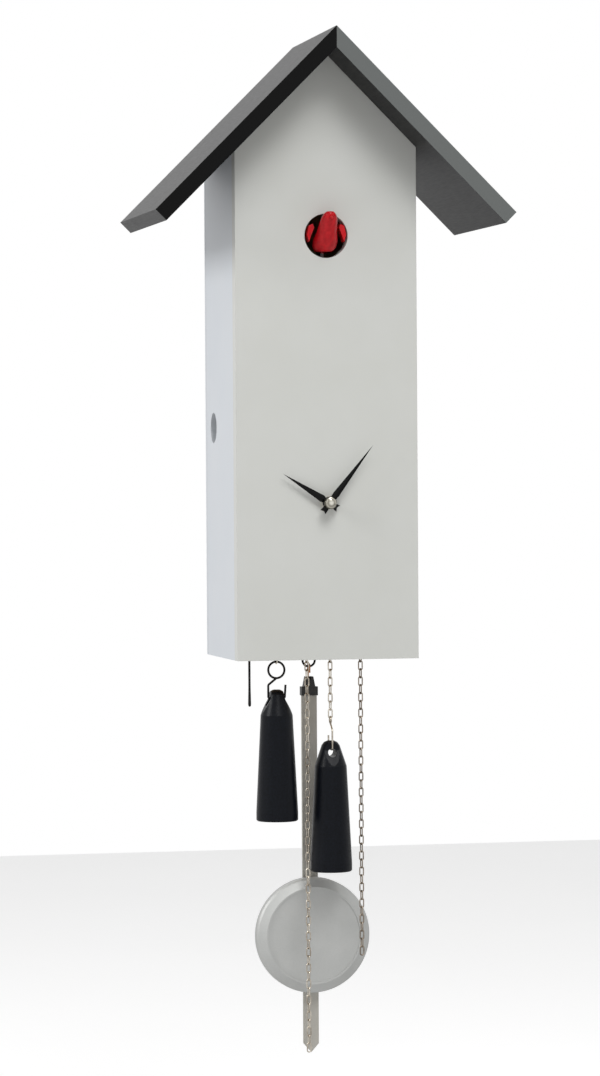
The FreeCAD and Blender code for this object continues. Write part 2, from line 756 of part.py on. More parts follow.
def great_wheel(centre, y0, phase):
    """A great wheel on its sprocket's arbor, with the click that the ratchet drives."""
    x, z = centre
    y1 = y0 + WHEEL_T
    wheel = toothed(centre, GREAT_TEETH, MODULE_1, phase, y0, y1, 1)
    wheel = spokes(wheel, centre, y0, y1, GREAT_HUB_R, GREAT_R - RIM, 6)
    ratchet_y = CHAIN_Y + GROOVE_HALF + FLANGE_T
    post = away(centre, RATCHET_R + CLICK_POST_OUT, CLICK_POST_ANGLE)
    wheel = wheel.fuse(rod(post[0], ratchet_y, y0, post[1], CLICK_POST_R))
    tip = away(centre, RATCHET_R + CLICK_TIP_OUT, CLICK_TIP_ANGLE)
    click = tapered(post, CLICK_POST_R, tip, CLICK_TIP_R, ratchet_y, ratchet_y + RATCHET_T)
    wheel = wheel.fuse(click)
    return wheel.cut(rod(x, y0 - EPS, y1 + EPS, z, ARBOR_R + RUN))


def second_wheel(centre, pinion_phase, pinion_y, wheel_phase):
    """The wheel that follows a great wheel, with its pinion and arbor."""
    y1 = SECOND_WHEEL_Y + SECOND_T
    wheel = toothed(centre, SECOND_TEETH, MODULE_2, wheel_phase, SECOND_WHEEL_Y, y1, 1)
    wheel = spokes(wheel, centre, SECOND_WHEEL_Y, y1, COLLET_R, SECOND_R - SMALL_RIM, 5)
    pinion_end = pinion_y + WHEEL_T + LEAF_END
    pinion = toothed(centre, PINION_LEAVES, MODULE_1, pinion_phase, pinion_y - LEAF_END, pinion_end, 3)
    return wheel.fuse([pinion, arbor(centre, ARBOR_SLIM_R)])


THIRD_PHASE = meshed(GREAT_PHASE, GREAT_TEETH, TIME, PINION_LEAVES, THIRD)
THIRD_WHEEL_PHASE = heading(THIRD, ESCAPE)
ESCAPE_PINION_PHASE = meshed(THIRD_WHEEL_PHASE, SECOND_TEETH, THIRD, PINION_LEAVES, ESCAPE)
STRIKE_PINS = 8
STRIKE_PIN_R = 0.5
STRIKE_PIN_INSET = 1.6
STRIKE_PHASE = heading(STRIKE, PIN)
PIN_PHASE = meshed(STRIKE_PHASE, GREAT_TEETH, STRIKE, PINION_LEAVES, PIN)
PIN_WHEEL_PHASE = heading(PIN, FLY)
FLY_PINION_PHASE = meshed(PIN_WHEEL_PHASE, SECOND_TEETH, PIN, PINION_LEAVES, FLY)


def third_wheel():
    return second_wheel(THIRD, THIRD_PHASE, TIME_WHEEL_Y, THIRD_WHEEL_PHASE)


def strike_pin_wheel():
    """The strike train's second wheel, with eight pins that lift the bellows and the hammer."""
    wheel = second_wheel(PIN, PIN_PHASE, STRIKE_WHEEL_Y, PIN_WHEEL_PHASE)
    for k in range(STRIKE_PINS):
        x, z = away(PIN, SECOND_R - STRIKE_PIN_INSET, 360.0 * k / STRIKE_PINS)
        wheel = wheel.fuse(rod(x, SECOND_WHEEL_Y + SECOND_T / 2, REAR_PLATE_Y - CLEAR, z, STRIKE_PIN_R))
    return wheel


def small_pinion(centre, phase):
    y1 = SECOND_WHEEL_Y + SECOND_T + LEAF_END
    return toothed(centre, PINION_LEAVES, MODULE_2, phase, SECOND_WHEEL_Y - LEAF_END, y1, 3)


ESCAPE_T = 1.0
ESCAPE_DEEP = 1.9
ESCAPE_RAKE = 1.2
ESCAPE_RIM = 4.0


def escape_wheel():
    """A brass escape wheel with pointed teeth."""
    y0 = ESCAPE_WHEEL_Y
    points = []
    for k in range(ESCAPE_TEETH):
        degrees = 360.0 * k / ESCAPE_TEETH
        points.append(away(ESCAPE, ESCAPE_R - ESCAPE_DEEP, degrees - ESCAPE_RAKE))
        points.append(away(ESCAPE, ESCAPE_R, degrees))
        points.append(away(ESCAPE, ESCAPE_R - ESCAPE_DEEP, degrees + ESCAPE_RAKE))
    wheel = plate_from(points, y0, y0 + ESCAPE_T)
    wheel = spokes(wheel, ESCAPE, y0, y0 + ESCAPE_T, BOSS_R, ESCAPE_R - ESCAPE_RIM, 4)
    return wheel.fuse([small_pinion(ESCAPE, ESCAPE_PINION_PHASE), arbor(ESCAPE, ARBOR_SLIM_R)])


FLY_R = 9.5
FLY_L = 16.0
FLY_T = 0.8


def fly():
    """The fan that slows the strike train."""
    x, z = FLY
    front = FRONT_PLATE_Y + PLATE_T + BOSS_T
    blade = box(x - FLY_R, x + FLY_R, front, front + FLY_L, z - FLY_T / 2, z + FLY_T / 2)
    return blade.fuse([small_pinion(FLY, FLY_PINION_PHASE), arbor(FLY, ARBOR_SLIM_R)])


CRUTCH_Y = REAR_PLATE_Y + PLATE_T + 2.2
CRUTCH_T = 1.0
CRUTCH_HALF = 0.7
CRUTCH_FORK_Z = 84.0
FORK_H = 2.0
FORK_T = 1.0
FORK_PAST = 3.0
FORK_HALF = LEADER_R + 0.35
PALLET_CLEAR = 2.4
PALLET_SPREAD = 30.0
PALLET_ROOT = 1.6
PALLET_TIP = 0.7
PALLET_PAST = 0.6
VERGE_COLLAR_R = 2.4


def verge():
    """The pallets, their arbor and the crutch whose fork holds the pendulum leader."""
    x, z = VERGE
    bar = arbor(VERGE, ARBOR_SLIM_R, rear=CRUTCH_Y + CRUTCH_T)
    y0 = ESCAPE_WHEEL_Y - PALLET_PAST
    y1 = ESCAPE_WHEEL_Y + ESCAPE_T + PALLET_PAST
    pieces = [rod(x, y0 - PALLET_PAST, y1 + PALLET_PAST, z, VERGE_COLLAR_R)]
    toward = math.degrees(heading(ESCAPE, VERGE))
    for side in (-1, 1):
        tip = away(ESCAPE, ESCAPE_R + PALLET_CLEAR, toward + PALLET_SPREAD * side)
        pieces.append(tapered(VERGE, PALLET_ROOT, tip, PALLET_TIP, y0, y1))
    rear = CRUTCH_Y + CRUTCH_T
    wide = FORK_HALF + FORK_T
    pieces.append(box(x - CRUTCH_HALF, x + CRUTCH_HALF, CRUTCH_Y, rear, CRUTCH_FORK_Z, z))
    pieces.append(box(x - wide, x + wide, CRUTCH_Y, rear, CRUTCH_FORK_Z - FORK_H, CRUTCH_FORK_Z))
    for side in (-1, 1):
        low, high = sorted((side * FORK_HALF, side * wide))
        pieces.append(box(low, high, CRUTCH_Y, PENDULUM_Y + FORK_PAST, CRUTCH_FORK_Z - FORK_H, CRUTCH_FORK_Z))
    return bar.fuse(pieces).removeSplitter()


COCK_PIN_R = 1.0
COCK_FRONT = PENDULUM_Y - 5.0
COCK_REAR = PENDULUM_Y + 5.0
COCK_T = 1.5
COCK_HALF = 7.0
COCK_EAR_HALF = 3.0
COCK_EAR_BELOW = 3.0
COCK_RISE = 7.0
COCK_FOOT_DOWN = 3.0
COCK_FOOT_UP = 6.0


def pendulum_cock():
    """A brass bracket on the rear plate whose pin carries the pendulum."""
    y0 = REAR_PLATE_Y + PLATE_T
    roof = PIVOT_Z + COCK_RISE
    low = PIVOT_Z - COCK_EAR_BELOW
    half = COCK_EAR_HALF
    top = box(-COCK_HALF, COCK_HALF, y0, COCK_REAR + COCK_T, roof, roof + COCK_T)
    foot = box(-COCK_HALF, COCK_HALF, y0, y0 + COCK_T, roof - COCK_FOOT_DOWN, roof + COCK_FOOT_UP)
    front = box(-half, half, COCK_FRONT - COCK_T, COCK_FRONT, low, roof)
    rear = box(-half, half, COCK_REAR, COCK_REAR + COCK_T, low, roof)
    pin = rod(0, COCK_FRONT, COCK_REAR, PIVOT_Z, COCK_PIN_R)
    return top.fuse([foot, front, rear, pin]).removeSplitter()


# ---------------------------------------------------------------- gong and hammer

def gong_coil():
    """A flat spiral of steel wire, made of half turns about two centres."""
    edges = []
    side = 1
    r = GONG_R
    x = 0.0
    start = vec(r, GONG_Y, GONG_Z)
    for k in range(int(2 * GONG_TURNS)):
        end = vec(x - side * r, GONG_Y, GONG_Z)
        middle = vec(x, GONG_Y, GONG_Z + side * r)
        edges.append(arc(start, middle, end))
        x -= side * GONG_PITCH / 2
        r -= GONG_PITCH / 2
        start = end
        side = -side
    return wire_along(edges, GONG_WIRE / 2), start


GONG_BLOCK_HALF = 4.0
GONG_BLOCK_T = 8.0
GONG_BLOCK_H = 10.0
GONG_POST_R = 3.0


def gong_block(end):
    """The iron block that grips the gong's inner end, on a post from the back board."""
    x = end.x
    low = end.z - GONG_BLOCK_H * 0.6
    face = GONG_Y + GONG_WIRE / 2
    rear = face + GONG_BLOCK_T
    block = box(x - GONG_BLOCK_HALF, x + GONG_BLOCK_HALF, face, rear, low, low + GONG_BLOCK_H)
    return block.fuse(rod(x, rear, SHELL_BACK, end.z, GONG_POST_R))


HAMMER_ARM_Y = REAR_PLATE_Y + PLATE_T + 3.0
HAMMER_ARM_R = 0.8
HAMMER_ARM_BEND = 3.0
HAMMER_STEP = 14.0
HAMMER_HEAD_R = 3.2
HAMMER_HEAD_L = 6.0
HAMMER_EYE_R = 2.0
HAMMER_EYE_T = 2.4


def gong_hammer():
    """A wire arm on its arbor, bent back behind the rear plate, with a hard head beside the gong."""
    x, z = HAMMER
    y = HAMMER_ARM_Y
    head_x = -GONG_R - GONG_WIRE / 2 - HAMMER_GAP - HAMMER_HEAD_L
    bar = arbor(HAMMER, ARBOR_SLIM_R, rear=y + HAMMER_EYE_T / 2)
    step = z + HAMMER_STEP
    tip = vec(head_x + HAMMER_HEAD_L / 2, GONG_Y, GONG_Z)
    points = [vec(x, y, z), vec(x, y, step), vec(x, GONG_Y, step), tip]
    arm = wire_along(bent(points, HAMMER_ARM_BEND), HAMMER_ARM_R)
    head = Part.makeCylinder(HAMMER_HEAD_R, HAMMER_HEAD_L, vec(head_x, GONG_Y, GONG_Z), X_AXIS)
    eye = rod(x, y - HAMMER_EYE_T / 2, y + HAMMER_EYE_T / 2, z, HAMMER_EYE_R)
    return bar.fuse([eye, arm, head])


# ---------------------------------------------------------------- cuckoo and bellows

WHISTLE_WALL = 3.0
WHISTLE_TOP = 6.0
MOUTH_H = 6.0
BATTEN_HALF = 8.0
BATTEN_INSET = 8.0
BELLOWS_FRONT = BELLOWS_Y - BELLOWS_D / 2
BELLOWS_BACK = BELLOWS_Y + BELLOWS_D / 2


def bellows_tube(side):
    """An upright wooden whistle box against the side panel, with a hollow pipe and a mouth in its front."""
    x = side * BELLOWS_X
    half = BELLOWS_W / 2
    low = x - half + WHISTLE_WALL
    high = x + half - WHISTLE_WALL
    front = BELLOWS_FRONT + WHISTLE_WALL
    ceiling = BELLOWS_Z1 - WHISTLE_TOP
    body = box(x - half, x + half, BELLOWS_FRONT, BELLOWS_BACK, BELLOWS_Z0, BELLOWS_Z1)
    bore = box(low, high, front, BELLOWS_BACK - WHISTLE_WALL, BELLOWS_Z0 - EPS, ceiling)
    mouth = box(low, high, BELLOWS_FRONT - EPS, front + EPS, ceiling - 2 * MOUTH_H, ceiling - MOUTH_H)
    near, far = sorted((side * (BELLOWS_X + half), side * SIDE_IN))
    z0 = BELLOWS_Z0 + BATTEN_INSET
    batten = box(near, far, BELLOWS_Y - BATTEN_HALF, BELLOWS_Y + BATTEN_HALF, z0, BELLOWS_Z1 - BATTEN_INSET)
    return body.cut(bore).cut(mouth).fuse(batten)


LID_BACK = BELLOWS_BACK - 1.0
LID_Z = BELLOWS_Z1 + CLOTH_H
LID_PIN_R = 0.6
LID_PIN_H = 5.0
LID_PIN_IN = 4.0
CLOTH_INSET = 1.5
CLOTH_GAP = 0.1


def bellows_cloth(side):
    """The pleated cloth between the box and its lid."""
    x = side * BELLOWS_X
    half = BELLOWS_W / 2 - CLOTH_INSET
    front = BELLOWS_FRONT + CLOTH_INSET
    return box(x - half, x + half, front, BELLOWS_BACK - CLOTH_INSET, BELLOWS_Z1, LID_Z - CLOTH_GAP)


def bellows_lid(side):
    """The wooden lid, hinged at its back, with the pin that the lifting wire hooks on."""
    x = side * BELLOWS_X
    half = BELLOWS_W / 2
    lid = box(x - half, x + half, BELLOWS_FRONT, LID_BACK, LID_Z, LID_Z + LID_T)
    pin_x = x - side * (half - LID_PIN_IN)
    return lid.fuse(upright(pin_x, BELLOWS_FRONT + LID_PIN_IN, LID_Z, LID_Z + LID_T + LID_PIN_H, LID_PIN_R))


RAIL_X = 8.0
RAIL_R = 1.2
RAIL_Z = SHELF_Z + 9.0
RAIL_BACK = 72.0


SHELF_HALF = 16.0
SHELF_T = 5.0
STOP_HALF = 14.0
STOP_T = 5.0
STOP_OVER = 4.0


def bird_shelf():
    """A small wooden shelf behind the cuckoo's hole, with two steel rails that guide the carriage."""
    shelf = box(-SHELF_HALF, SHELF_HALF, FRONT_T, RAIL_BACK + STOP_T, SHELF_Z - SHELF_T, SHELF_Z)
    stop = box(-STOP_HALF, STOP_HALF, RAIL_BACK, RAIL_BACK + STOP_T, SHELF_Z, RAIL_Z + STOP_OVER)
    pieces = [stop]
    for side in (-1, 1):
        pieces.append(rod(side * RAIL_X, FRONT_T, RAIL_BACK, RAIL_Z, RAIL_R))
    return shelf.fuse(pieces)


CARRIAGE_FRONT = 20.0
CARRIAGE_BACK = 40.0
CARRIAGE_HALF = 12.0
CARRIAGE_OVER = 3.4
BOW_PIN_R = 0.9
BOW_EYE_R = 2.2
BOW_EYE_HALF = 2.8
EAR_GAP = 0.4
EAR_T = 2.0
EAR_DROP = 12.0


def bird_carriage():
    """The sliding block; its two ears hold the pin that the cuckoo nods on."""
    top = RAIL_Z + CARRIAGE_OVER
    block = box(-CARRIAGE_HALF, CARRIAGE_HALF, CARRIAGE_FRONT, CARRIAGE_BACK, SHELF_Z + SEAT, top)
    for side in (-1, 1):
        block = block.cut(rod(side * RAIL_X, FRONT_T, RAIL_BACK, RAIL_Z, RAIL_R + RUN))
    front = BIRD_LEG_Y - BOW_EYE_R
    inner = BOW_EYE_HALF + EAR_GAP
    outer = inner + EAR_T
    pieces = []
    for side in (-1, 1):
        low, high = sorted((side * inner, side * outer))
        pieces.append(box(low, high, front, CARRIAGE_FRONT, BIRD_PIVOT_Z - EAR_DROP, BIRD_PIVOT_Z + BOW_EYE_R))
    pieces.append(Part.makeCylinder(BOW_PIN_R, 2 * outer, vec(-outer, BIRD_LEG_Y, BIRD_PIVOT_Z), X_AXIS))
    return block.fuse(pieces)


# Height above the nod pin, depth from the leg, half width and half depth of each slice of the cuckoo
BIRD_SLICES = [
    (13.0, -5.0, 4.6, 8.0),
    (16.0, -7.0, 7.8, 11.0),
    (19.0, -9.0, 8.3, 12.0),
    (25.0, -14.0, 7.1, 10.5),
    (31.0, -19.5, 6.2, 7.8),
    (36.5, -24.0, 4.8, 5.4),
    (39.2, -25.5, 2.4, 2.8),
]


HEAD_SLICE = 5
BEAK_R = 1.5
BEAK_TIP_R = 0.4
BEAK_L = 4.6
BEAK_SINK = 1.0
BEAK_WAY = vec(0, -1, -0.35)
LEG_SINK = 3.0


def ellipse_at(z, y, rx, ry):
    major, minor, turn = (rx, ry, 0) if rx >= ry else (ry, rx, 90)
    curve = Part.Ellipse(vec(0, 0, 0), major, minor).toShape()
    curve.rotate(vec(0, 0, 0), Z_AXIS, turn)
    curve.translate(vec(0, y, z))
    return Part.Wire(curve)


def bird_body():
    """The carved cuckoo on its leg."""
    y = BIRD_LEG_Y
    z = BIRD_PIVOT_Z
    slices = [ellipse_at(z + up, y + back, rx, ry) for up, back, rx, ry in BIRD_SLICES]
    body = Part.makeLoft(slices, True, False)
    up, back, rx, ry = BIRD_SLICES[HEAD_SLICE]
    root = vec(0, y + back - ry + BEAK_SINK, z + up - BEAK_SINK)
    beak = Part.makeCone(BEAK_R, BEAK_TIP_R, BEAK_L, root, BEAK_WAY)
    leg = upright(0, y, z, z + BIRD_SLICES[0][0] + LEG_SINK, BIRD_LEG_R)
    eye = Part.makeCylinder(BOW_EYE_R, 2 * BOW_EYE_HALF, vec(-BOW_EYE_HALF, y, z), X_AXIS)
    hole = Part.makeCylinder(BOW_PIN_R + RUN, 4 * BOW_EYE_HALF, vec(-2 * BOW_EYE_HALF, y, z), X_AXIS)
    return body.fuse([beak, leg, eye]).cut(hole)


WING_ROOT_X = 8.6
WING_ROOT_Z = BIRD_PIVOT_Z + 29.0
WING_FRONT = -2.0
WING_BACK = 6.0
WING_OUTLINE = [(0, 0), (1.0, 2.6), (3.6, 1.4), (5.0, -4.5), (3.6, -9.6), (2.2, -5.4)]


def bird_wing(side):
    """A carved wing beside the body, hinged along its upper root."""
    points = [(side * (WING_ROOT_X + x), WING_ROOT_Z + z) for x, z in WING_OUTLINE]
    return plate_from(points, WING_FRONT, WING_BACK)


# ---------------------------------------------------------------- chains and weights

def link():
    """One chain link: a ring of wire with straight sides, its long axis along Z and its flat along X."""
    bend = (LINK_W - LINK_WIRE) / 2
    run = (LINK_PITCH + LINK_WIRE + LINK_GAP) / 2 - bend
    edges = [
        line(vec(bend, 0, -run), vec(bend, 0, run)),
        arc(vec(bend, 0, run), vec(0, 0, run + bend), vec(-bend, 0, run)),
        line(vec(-bend, 0, run), vec(-bend, 0, -run)),
        arc(vec(-bend, 0, -run), vec(0, 0, -run - bend), vec(bend, 0, -run)),
    ]
    return wire_along(edges, LINK_WIRE / 2)


LINK = link()
LINK_TURN = 12.0
BEND_TURN = 45.0


def placed_link(number, point, lean, turn):
    """A link at a place, each a quarter turn from the one before."""
    copy = LINK.copy()
    copy.rotate(vec(0, 0, 0), Z_AXIS, turn + 90.0 * (number % 2))
    copy.rotate(vec(0, 0, 0), Y_AXIS, lean)
    copy.translate(point)
    return copy


CHAIN_TOP = SPROCKET_Z - CHAIN_TOP_DROP
LINK_HALF = (LINK_PITCH + LINK_WIRE + LINK_GAP) / 2


def strand(x, count):
    """A straight run of chain, hanging down from its chain wheel."""
    return [placed_link(k, vec(x, CHAIN_Y, CHAIN_TOP - LINK_PITCH * k), 0, LINK_TURN) for k in range(count)]


def ring_height(count, ring_r, wire):
    """The centre of a hook's ring that hangs in the last link of a strand."""
    inside = CHAIN_TOP - LINK_PITCH * (count - 1) - LINK_HALF + LINK_WIRE / 2
    return inside + LINK_GAP + wire / 2 - ring_r


LEFT_RING_Z = ring_height(LEFT_WEIGHT_LINKS, LEFT_RING_R, LEFT_HOOK_WIRE)
RIGHT_RING_Z = ring_height(RIGHT_WEIGHT_LINKS, RIGHT_RING_R, RIGHT_HOOK_WIRE)
LEFT_WEIGHT_TOP = LEFT_RING_Z - LEFT_HOOK_L
RIGHT_WEIGHT_TOP = RIGHT_RING_Z - RIGHT_HOOK_L


def chain_bend(centre):
    """The links that lie on top of a chain wheel."""
    pieces = []
    for k in range(BEND_LINKS):
        degrees = 90 + BEND_STEP * (k - (BEND_LINKS - 1) / 2)
        x, z = away(centre, CHAIN_R, degrees)
        pieces.append(placed_link(k, vec(x, CHAIN_Y, z), -degrees, BEND_TURN))
    return pieces


def weight(x, top, turn):
    """A cast iron weight: a tapered round body with a chisel-shaped lug, flat on two sides."""
    low = top - WEIGHT_H
    profile = [
        (0, low), (WEIGHT_BASE_R - WEIGHT_EDGE, low), (WEIGHT_BASE_R, low + WEIGHT_EDGE),
        (WEIGHT_BASE_R, low + WEIGHT_BAND), (WEIGHT_SHOULDER_R, top - WEIGHT_SHOULDER),
        (WEIGHT_TIP_R + WEIGHT_TIP_STEP, top - WEIGHT_ARCH), (WEIGHT_TIP_R, top - WEIGHT_ARCH / 3),
        (WEIGHT_TIP_R / 2, top), (0, top),
    ]
    body = turned(profile)
    reach = 2 * WEIGHT_BASE_R
    floor = top - LUG_DEEP
    for side in (-1, 1):
        face = side * LUG_T / 2
        foot = side * (LUG_T / 2 + LUG_FLARE)
        waist = side * (LUG_T / 2 + LUG_WAIST_OUT)
        points = [(face, top + EPS), (side * reach, top + EPS), (side * reach, floor), (foot, floor)]
        points.append((waist, top - LUG_WAIST))
        body = body.cut(plate_from(points, -reach, reach))
    hole = top - LUG_HOLE
    body = body.cut(Part.makeCylinder(LUG_HOLE_R, 2 * reach, vec(-reach, 0, hole), X_AXIS))
    body.rotate(vec(0, 0, 0), Z_AXIS, turn)
    body.translate(vec(x, CHAIN_Y, 0))
    return body


def weight_hook(x, top, ring_z, ring_r, wire, turn):
    """A bent wire hook: a closed ring above, and below it an open hook through the weight's lug."""
    seat = top - LUG_HOLE + LUG_HOLE_R - wire / 2 - SEAT
    neck = ring_z - ring_r
    side = HOOK_HALF
    outline = [(0, neck), (-side, neck - HOOK_SHOULDER), (-side, seat), (side, seat)]
    outline.append((side + HOOK_LEAN, top + HOOK_OVER))
    points = [vec(px, 0, pz) for px, pz in outline]
    shank = wire_along(bent(points, HOOK_BEND), wire / 2)
    hook = Part.makeTorus(ring_r, wire / 2, vec(0, 0, ring_z), Y_AXIS).fuse(shank)
    hook.rotate(vec(0, 0, 0), Z_AXIS, turn)
    hook.translate(vec(x, CHAIN_Y, 0))
    return hook


# ---------------------------------------------------------------- hands

def hand(length, tail, wide, y0, eye_r, degrees):
    """A lancet hand: a blade that tapers both ways, a round boss and a forked tail."""
    belly = length * HAND_BELLY
    half = wide / 2
    fork = half + HAND_FORK_OUT
    right = [(half, belly), (HAND_NECK, HAND_NECK_Z), (HAND_NECK, -HAND_NECK_Z), (fork, -tail)]
    left = [(-x, z) for x, z in reversed(right)]
    points = [(0.0, length)] + right + [(0.0, HAND_FORK_DEEP - tail)] + left
    blade = plate_from(points, y0, y0 + HAND_T)
    blade = blade.fuse(rod(0, y0, y0 + HAND_T, 0, HAND_BOSS_R)).removeSplitter()
    blade = blade.cut(rod(0, y0 - EPS, y0 + HAND_T + EPS, 0, eye_r))
    blade.rotate(vec(0, 0, 0), Y_AXIS, degrees)
    blade.translate(vec(0, 0, HANDS_Z))
    return blade


def hand_nut():
    """The domed nut that holds the hands."""
    depth = MINUTE_HAND_Y - NUT_FRONT
    profile = [(0, 0), (NUT_R, 0), (NUT_R, depth * 0.35), (NUT_R * 0.8, depth * 0.75), (NUT_R * 0.4, depth)]
    profile.append((0, depth))
    bore = MINUTE_HAND_Y - THREAD_L - SINK
    nut = turned(profile)
    nut.rotate(vec(0, 0, 0), X_AXIS, 90)
    nut.translate(vec(0, MINUTE_HAND_Y, HANDS_Z))
    return nut.cut(rod(0, bore, MINUTE_HAND_Y + EPS, HANDS_Z, MINUTE_R))


# ---------------------------------------------------------------- pendulum

def pendulum_leader():
    """The steel wire from the cock's pin, bent into a hook below the case."""
    y = PENDULUM_Y
    low = LEADER_BOTTOM + LEADER_HALF + LEADER_R
    near = vec(LEADER_HALF, y, low)
    far = vec(-LEADER_HALF, y, low)
    top = vec(0, y, PIVOT_Z - LEADER_EYE_R + SINK)
    points = [top, vec(0, y, LEADER_JOG_TOP), vec(LEADER_HALF, y, LEADER_JOG_END), near]
    edges = bent(points, LEADER_BEND)
    edges.append(arc(near, vec(0, y, low - LEADER_HALF), far))
    edges.append(line(far, vec(-LEADER_HALF, y, LEADER_END)))
    shank = wire_along(edges, LEADER_R)
    half = LEADER_EYE_T / 2
    eye = rod(0, y - half, y + half, PIVOT_Z, LEADER_EYE_R)
    return shank.fuse(eye).cut(rod(0, y - EPS - half, y + EPS + half, PIVOT_Z, COCK_PIN_R + RUN))


HOOK_LIFT = 0.25
HOOK_R = 0.7
HOOK_ARM_Y = 2.4
HOOK_TURN = 1.6
HOOK_SHORT = 6.0
NECK_H = 7.0
NECK_FOOT = 4.0
NECK_TOP = 2.6
NECK_Y = 3.1
SOCKET_END = 1.2
HOOK_SOCKET = 2.0
CAP_WALL = 1.6


def pendulum_hook():
    """The copper-coloured wire hook of the pendulum rod, which hangs in the leader's bend."""
    seat = LEADER_BOTTOM + LEADER_R * 2 + HOOK_R + HOOK_LIFT
    front = PENDULUM_Y - HOOK_ARM_Y
    rear = PENDULUM_Y + HOOK_ARM_Y
    points = [vec(0, rear, COLLAR_TOP + NECK_H - HOOK_SOCKET), vec(0, rear, seat), vec(0, front, seat)]
    points.append(vec(0, front, seat - HOOK_SHORT))
    return wire_along(bent(points, HOOK_TURN), HOOK_R)


def pendulum_collar():
    """The black neck and cap on top of the rod."""
    y = PENDULUM_Y
    half = COLLAR_W / 2
    depth = ROD_T / 2 + CAP_WALL
    rod_half = ROD_W / 2
    top = COLLAR_TOP + NECK_H
    cap = box(-half, half, y - depth, y + depth, COLLAR_BOTTOM, COLLAR_TOP)
    outline = [(-NECK_FOOT, COLLAR_TOP), (NECK_FOOT, COLLAR_TOP), (NECK_TOP, top), (-NECK_TOP, top)]
    neck = plate_from(outline, y - NECK_Y, y + NECK_Y)
    bore = upright(0, y + HOOK_ARM_Y, top - HOOK_SOCKET, top + EPS, HOOK_R)
    tip = upright(0, y - HOOK_ARM_Y, top - HOOK_SOCKET, top + EPS, HOOK_R + CLEAR)
    socket = box(-rod_half, rod_half, y - ROD_T / 2, y + ROD_T / 2, COLLAR_BOTTOM - EPS, COLLAR_TOP - SOCKET_END)
    return cap.fuse(neck).cut(socket).cut(bore).cut(tip)


def pendulum_rod():
    """The flat wooden rod with a pointed lower end."""
    half = ROD_W / 2
    top = COLLAR_TOP - SOCKET_END
    point = ROD_TIP + ROD_POINT
    points = [(-half, top), (half, top), (half, point), (0, ROD_TIP), (-half, point)]
    return plate_from(points, PENDULUM_Y - ROD_T / 2, PENDULUM_Y + ROD_T / 2)


def pendulum_bob():
    """A turned disc with a stepped, bevelled rim, on the front of the rod."""
    rear = PENDULUM_Y - ROD_T / 2
    slope = BOB_T - BOB_SLOPE
    floor = BOB_T - BOB_SUNK
    profile = [
        (0, 0), (BOB_R - BOB_EDGE, 0), (BOB_R, BOB_EDGE), (BOB_R, slope - BOB_EDGE), (BOB_R - BOB_EDGE, slope),
        (BOB_FACE_R + BOB_LIP, BOB_T), (BOB_FACE_R, BOB_T), (BOB_FACE_R, floor), (0, floor),
    ]
    bob = turned(profile)
    bob.rotate(vec(0, 0, 0), X_AXIS, 90)
    bob.translate(vec(0, rear, BOB_Z))
    return bob


# ---------------------------------------------------------------- night-off lever

def night_off_lever():
    """A wire pull for silencing the cuckoo, with a narrow loop at its lower end."""
    x, y = LEVER_X, LEVER_Y
    loop_top = LEVER_BOTTOM + LEVER_LOOP_H
    low = LEVER_BOTTOM + LEVER_LOOP_HALF + LEVER_R
    front = vec(x, y - LEVER_LOOP_HALF, low)
    back = vec(x, y + LEVER_LOOP_HALF, low)
    root = vec(x, y, loop_top)
    shank = upright(x, y, loop_top, LEVER_TOP, LEVER_R)
    loop = wire_along([line(root, front), arc(front, vec(x, y, LEVER_BOTTOM + LEVER_R), back)], LEVER_R)
    close = wire_along([line(back, root)], LEVER_R)
    half = LEVER_HEAD_HALF
    head = box(x - half, x + half, y - half, y + LEVER_HEAD_L, LEVER_TOP, LEVER_TOP + LEVER_HEAD_T)
    stop = upright(x, y, BOTTOM_T + SEAT, BOTTOM_T + SEAT + LEVER_STOP_T, LEVER_STOP_R)
    return shank.fuse([loop, close, head, stop])


# ---------------------------------------------------------------- all nodes

os.makedirs("parts", exist_ok=True)

save("front_panel", front_panel())
save("left_side_panel", side_panel(-1))
save("right_side_panel", side_panel(1))
save("bottom_board", bottom_board())
save("back_board", back_board())
save("rear_door", *rear_door())
save("door_latch", door_latch())
save("roof_left_plank", roof_plank(-1))
save("roof_right_plank", roof_plank(1))
save("glue_blocks", *glue_blocks())
save("steel_screws", *(case_screws() + movement_screws()))
save("movement_posts", *movement_posts())
save("front_plate", front_plate())
save("rear_plate", rear_plate())
save("centre_arbor", centre_arbor())
save("centre_gear", centre_gear())
save("cannon_pinion", cannon_pinion())
save("motion_wheel", motion_wheel())
save("hour_wheel", hour_wheel())
save("time_sprocket", sprocket(TIME))
save("strike_sprocket", sprocket(STRIKE))
save("time_great_wheel", great_wheel(TIME, TIME_WHEEL_Y, GREAT_PHASE))
save("strike_great_wheel", great_wheel(STRIKE, STRIKE_WHEEL_Y, STRIKE_PHASE))
save("third_wheel", third_wheel())
save("strike_pin_wheel", strike_pin_wheel())
save("escape_wheel", escape_wheel())
save("fly", fly())
save("verge", verge())
save("pendulum_cock", pendulum_cock())

coil, coil_end = gong_coil()
save("gong_coil", coil)
save("gong_block", gong_block(coil_end))
save("gong_hammer", gong_hammer())

save("bellows_tubes", bellows_tube(-1), bellows_tube(1))
for side, word in ((-1, "left"), (1, "right")):
    save(word + "_bellows_cloth", bellows_cloth(side))
    save(word + "_bellows_lid", bellows_lid(side))
    save(word + "_wing", bird_wing(side))
save("bird_shelf", bird_shelf())
save("bird_carriage", bird_carriage())
save("bird_body", bird_body())

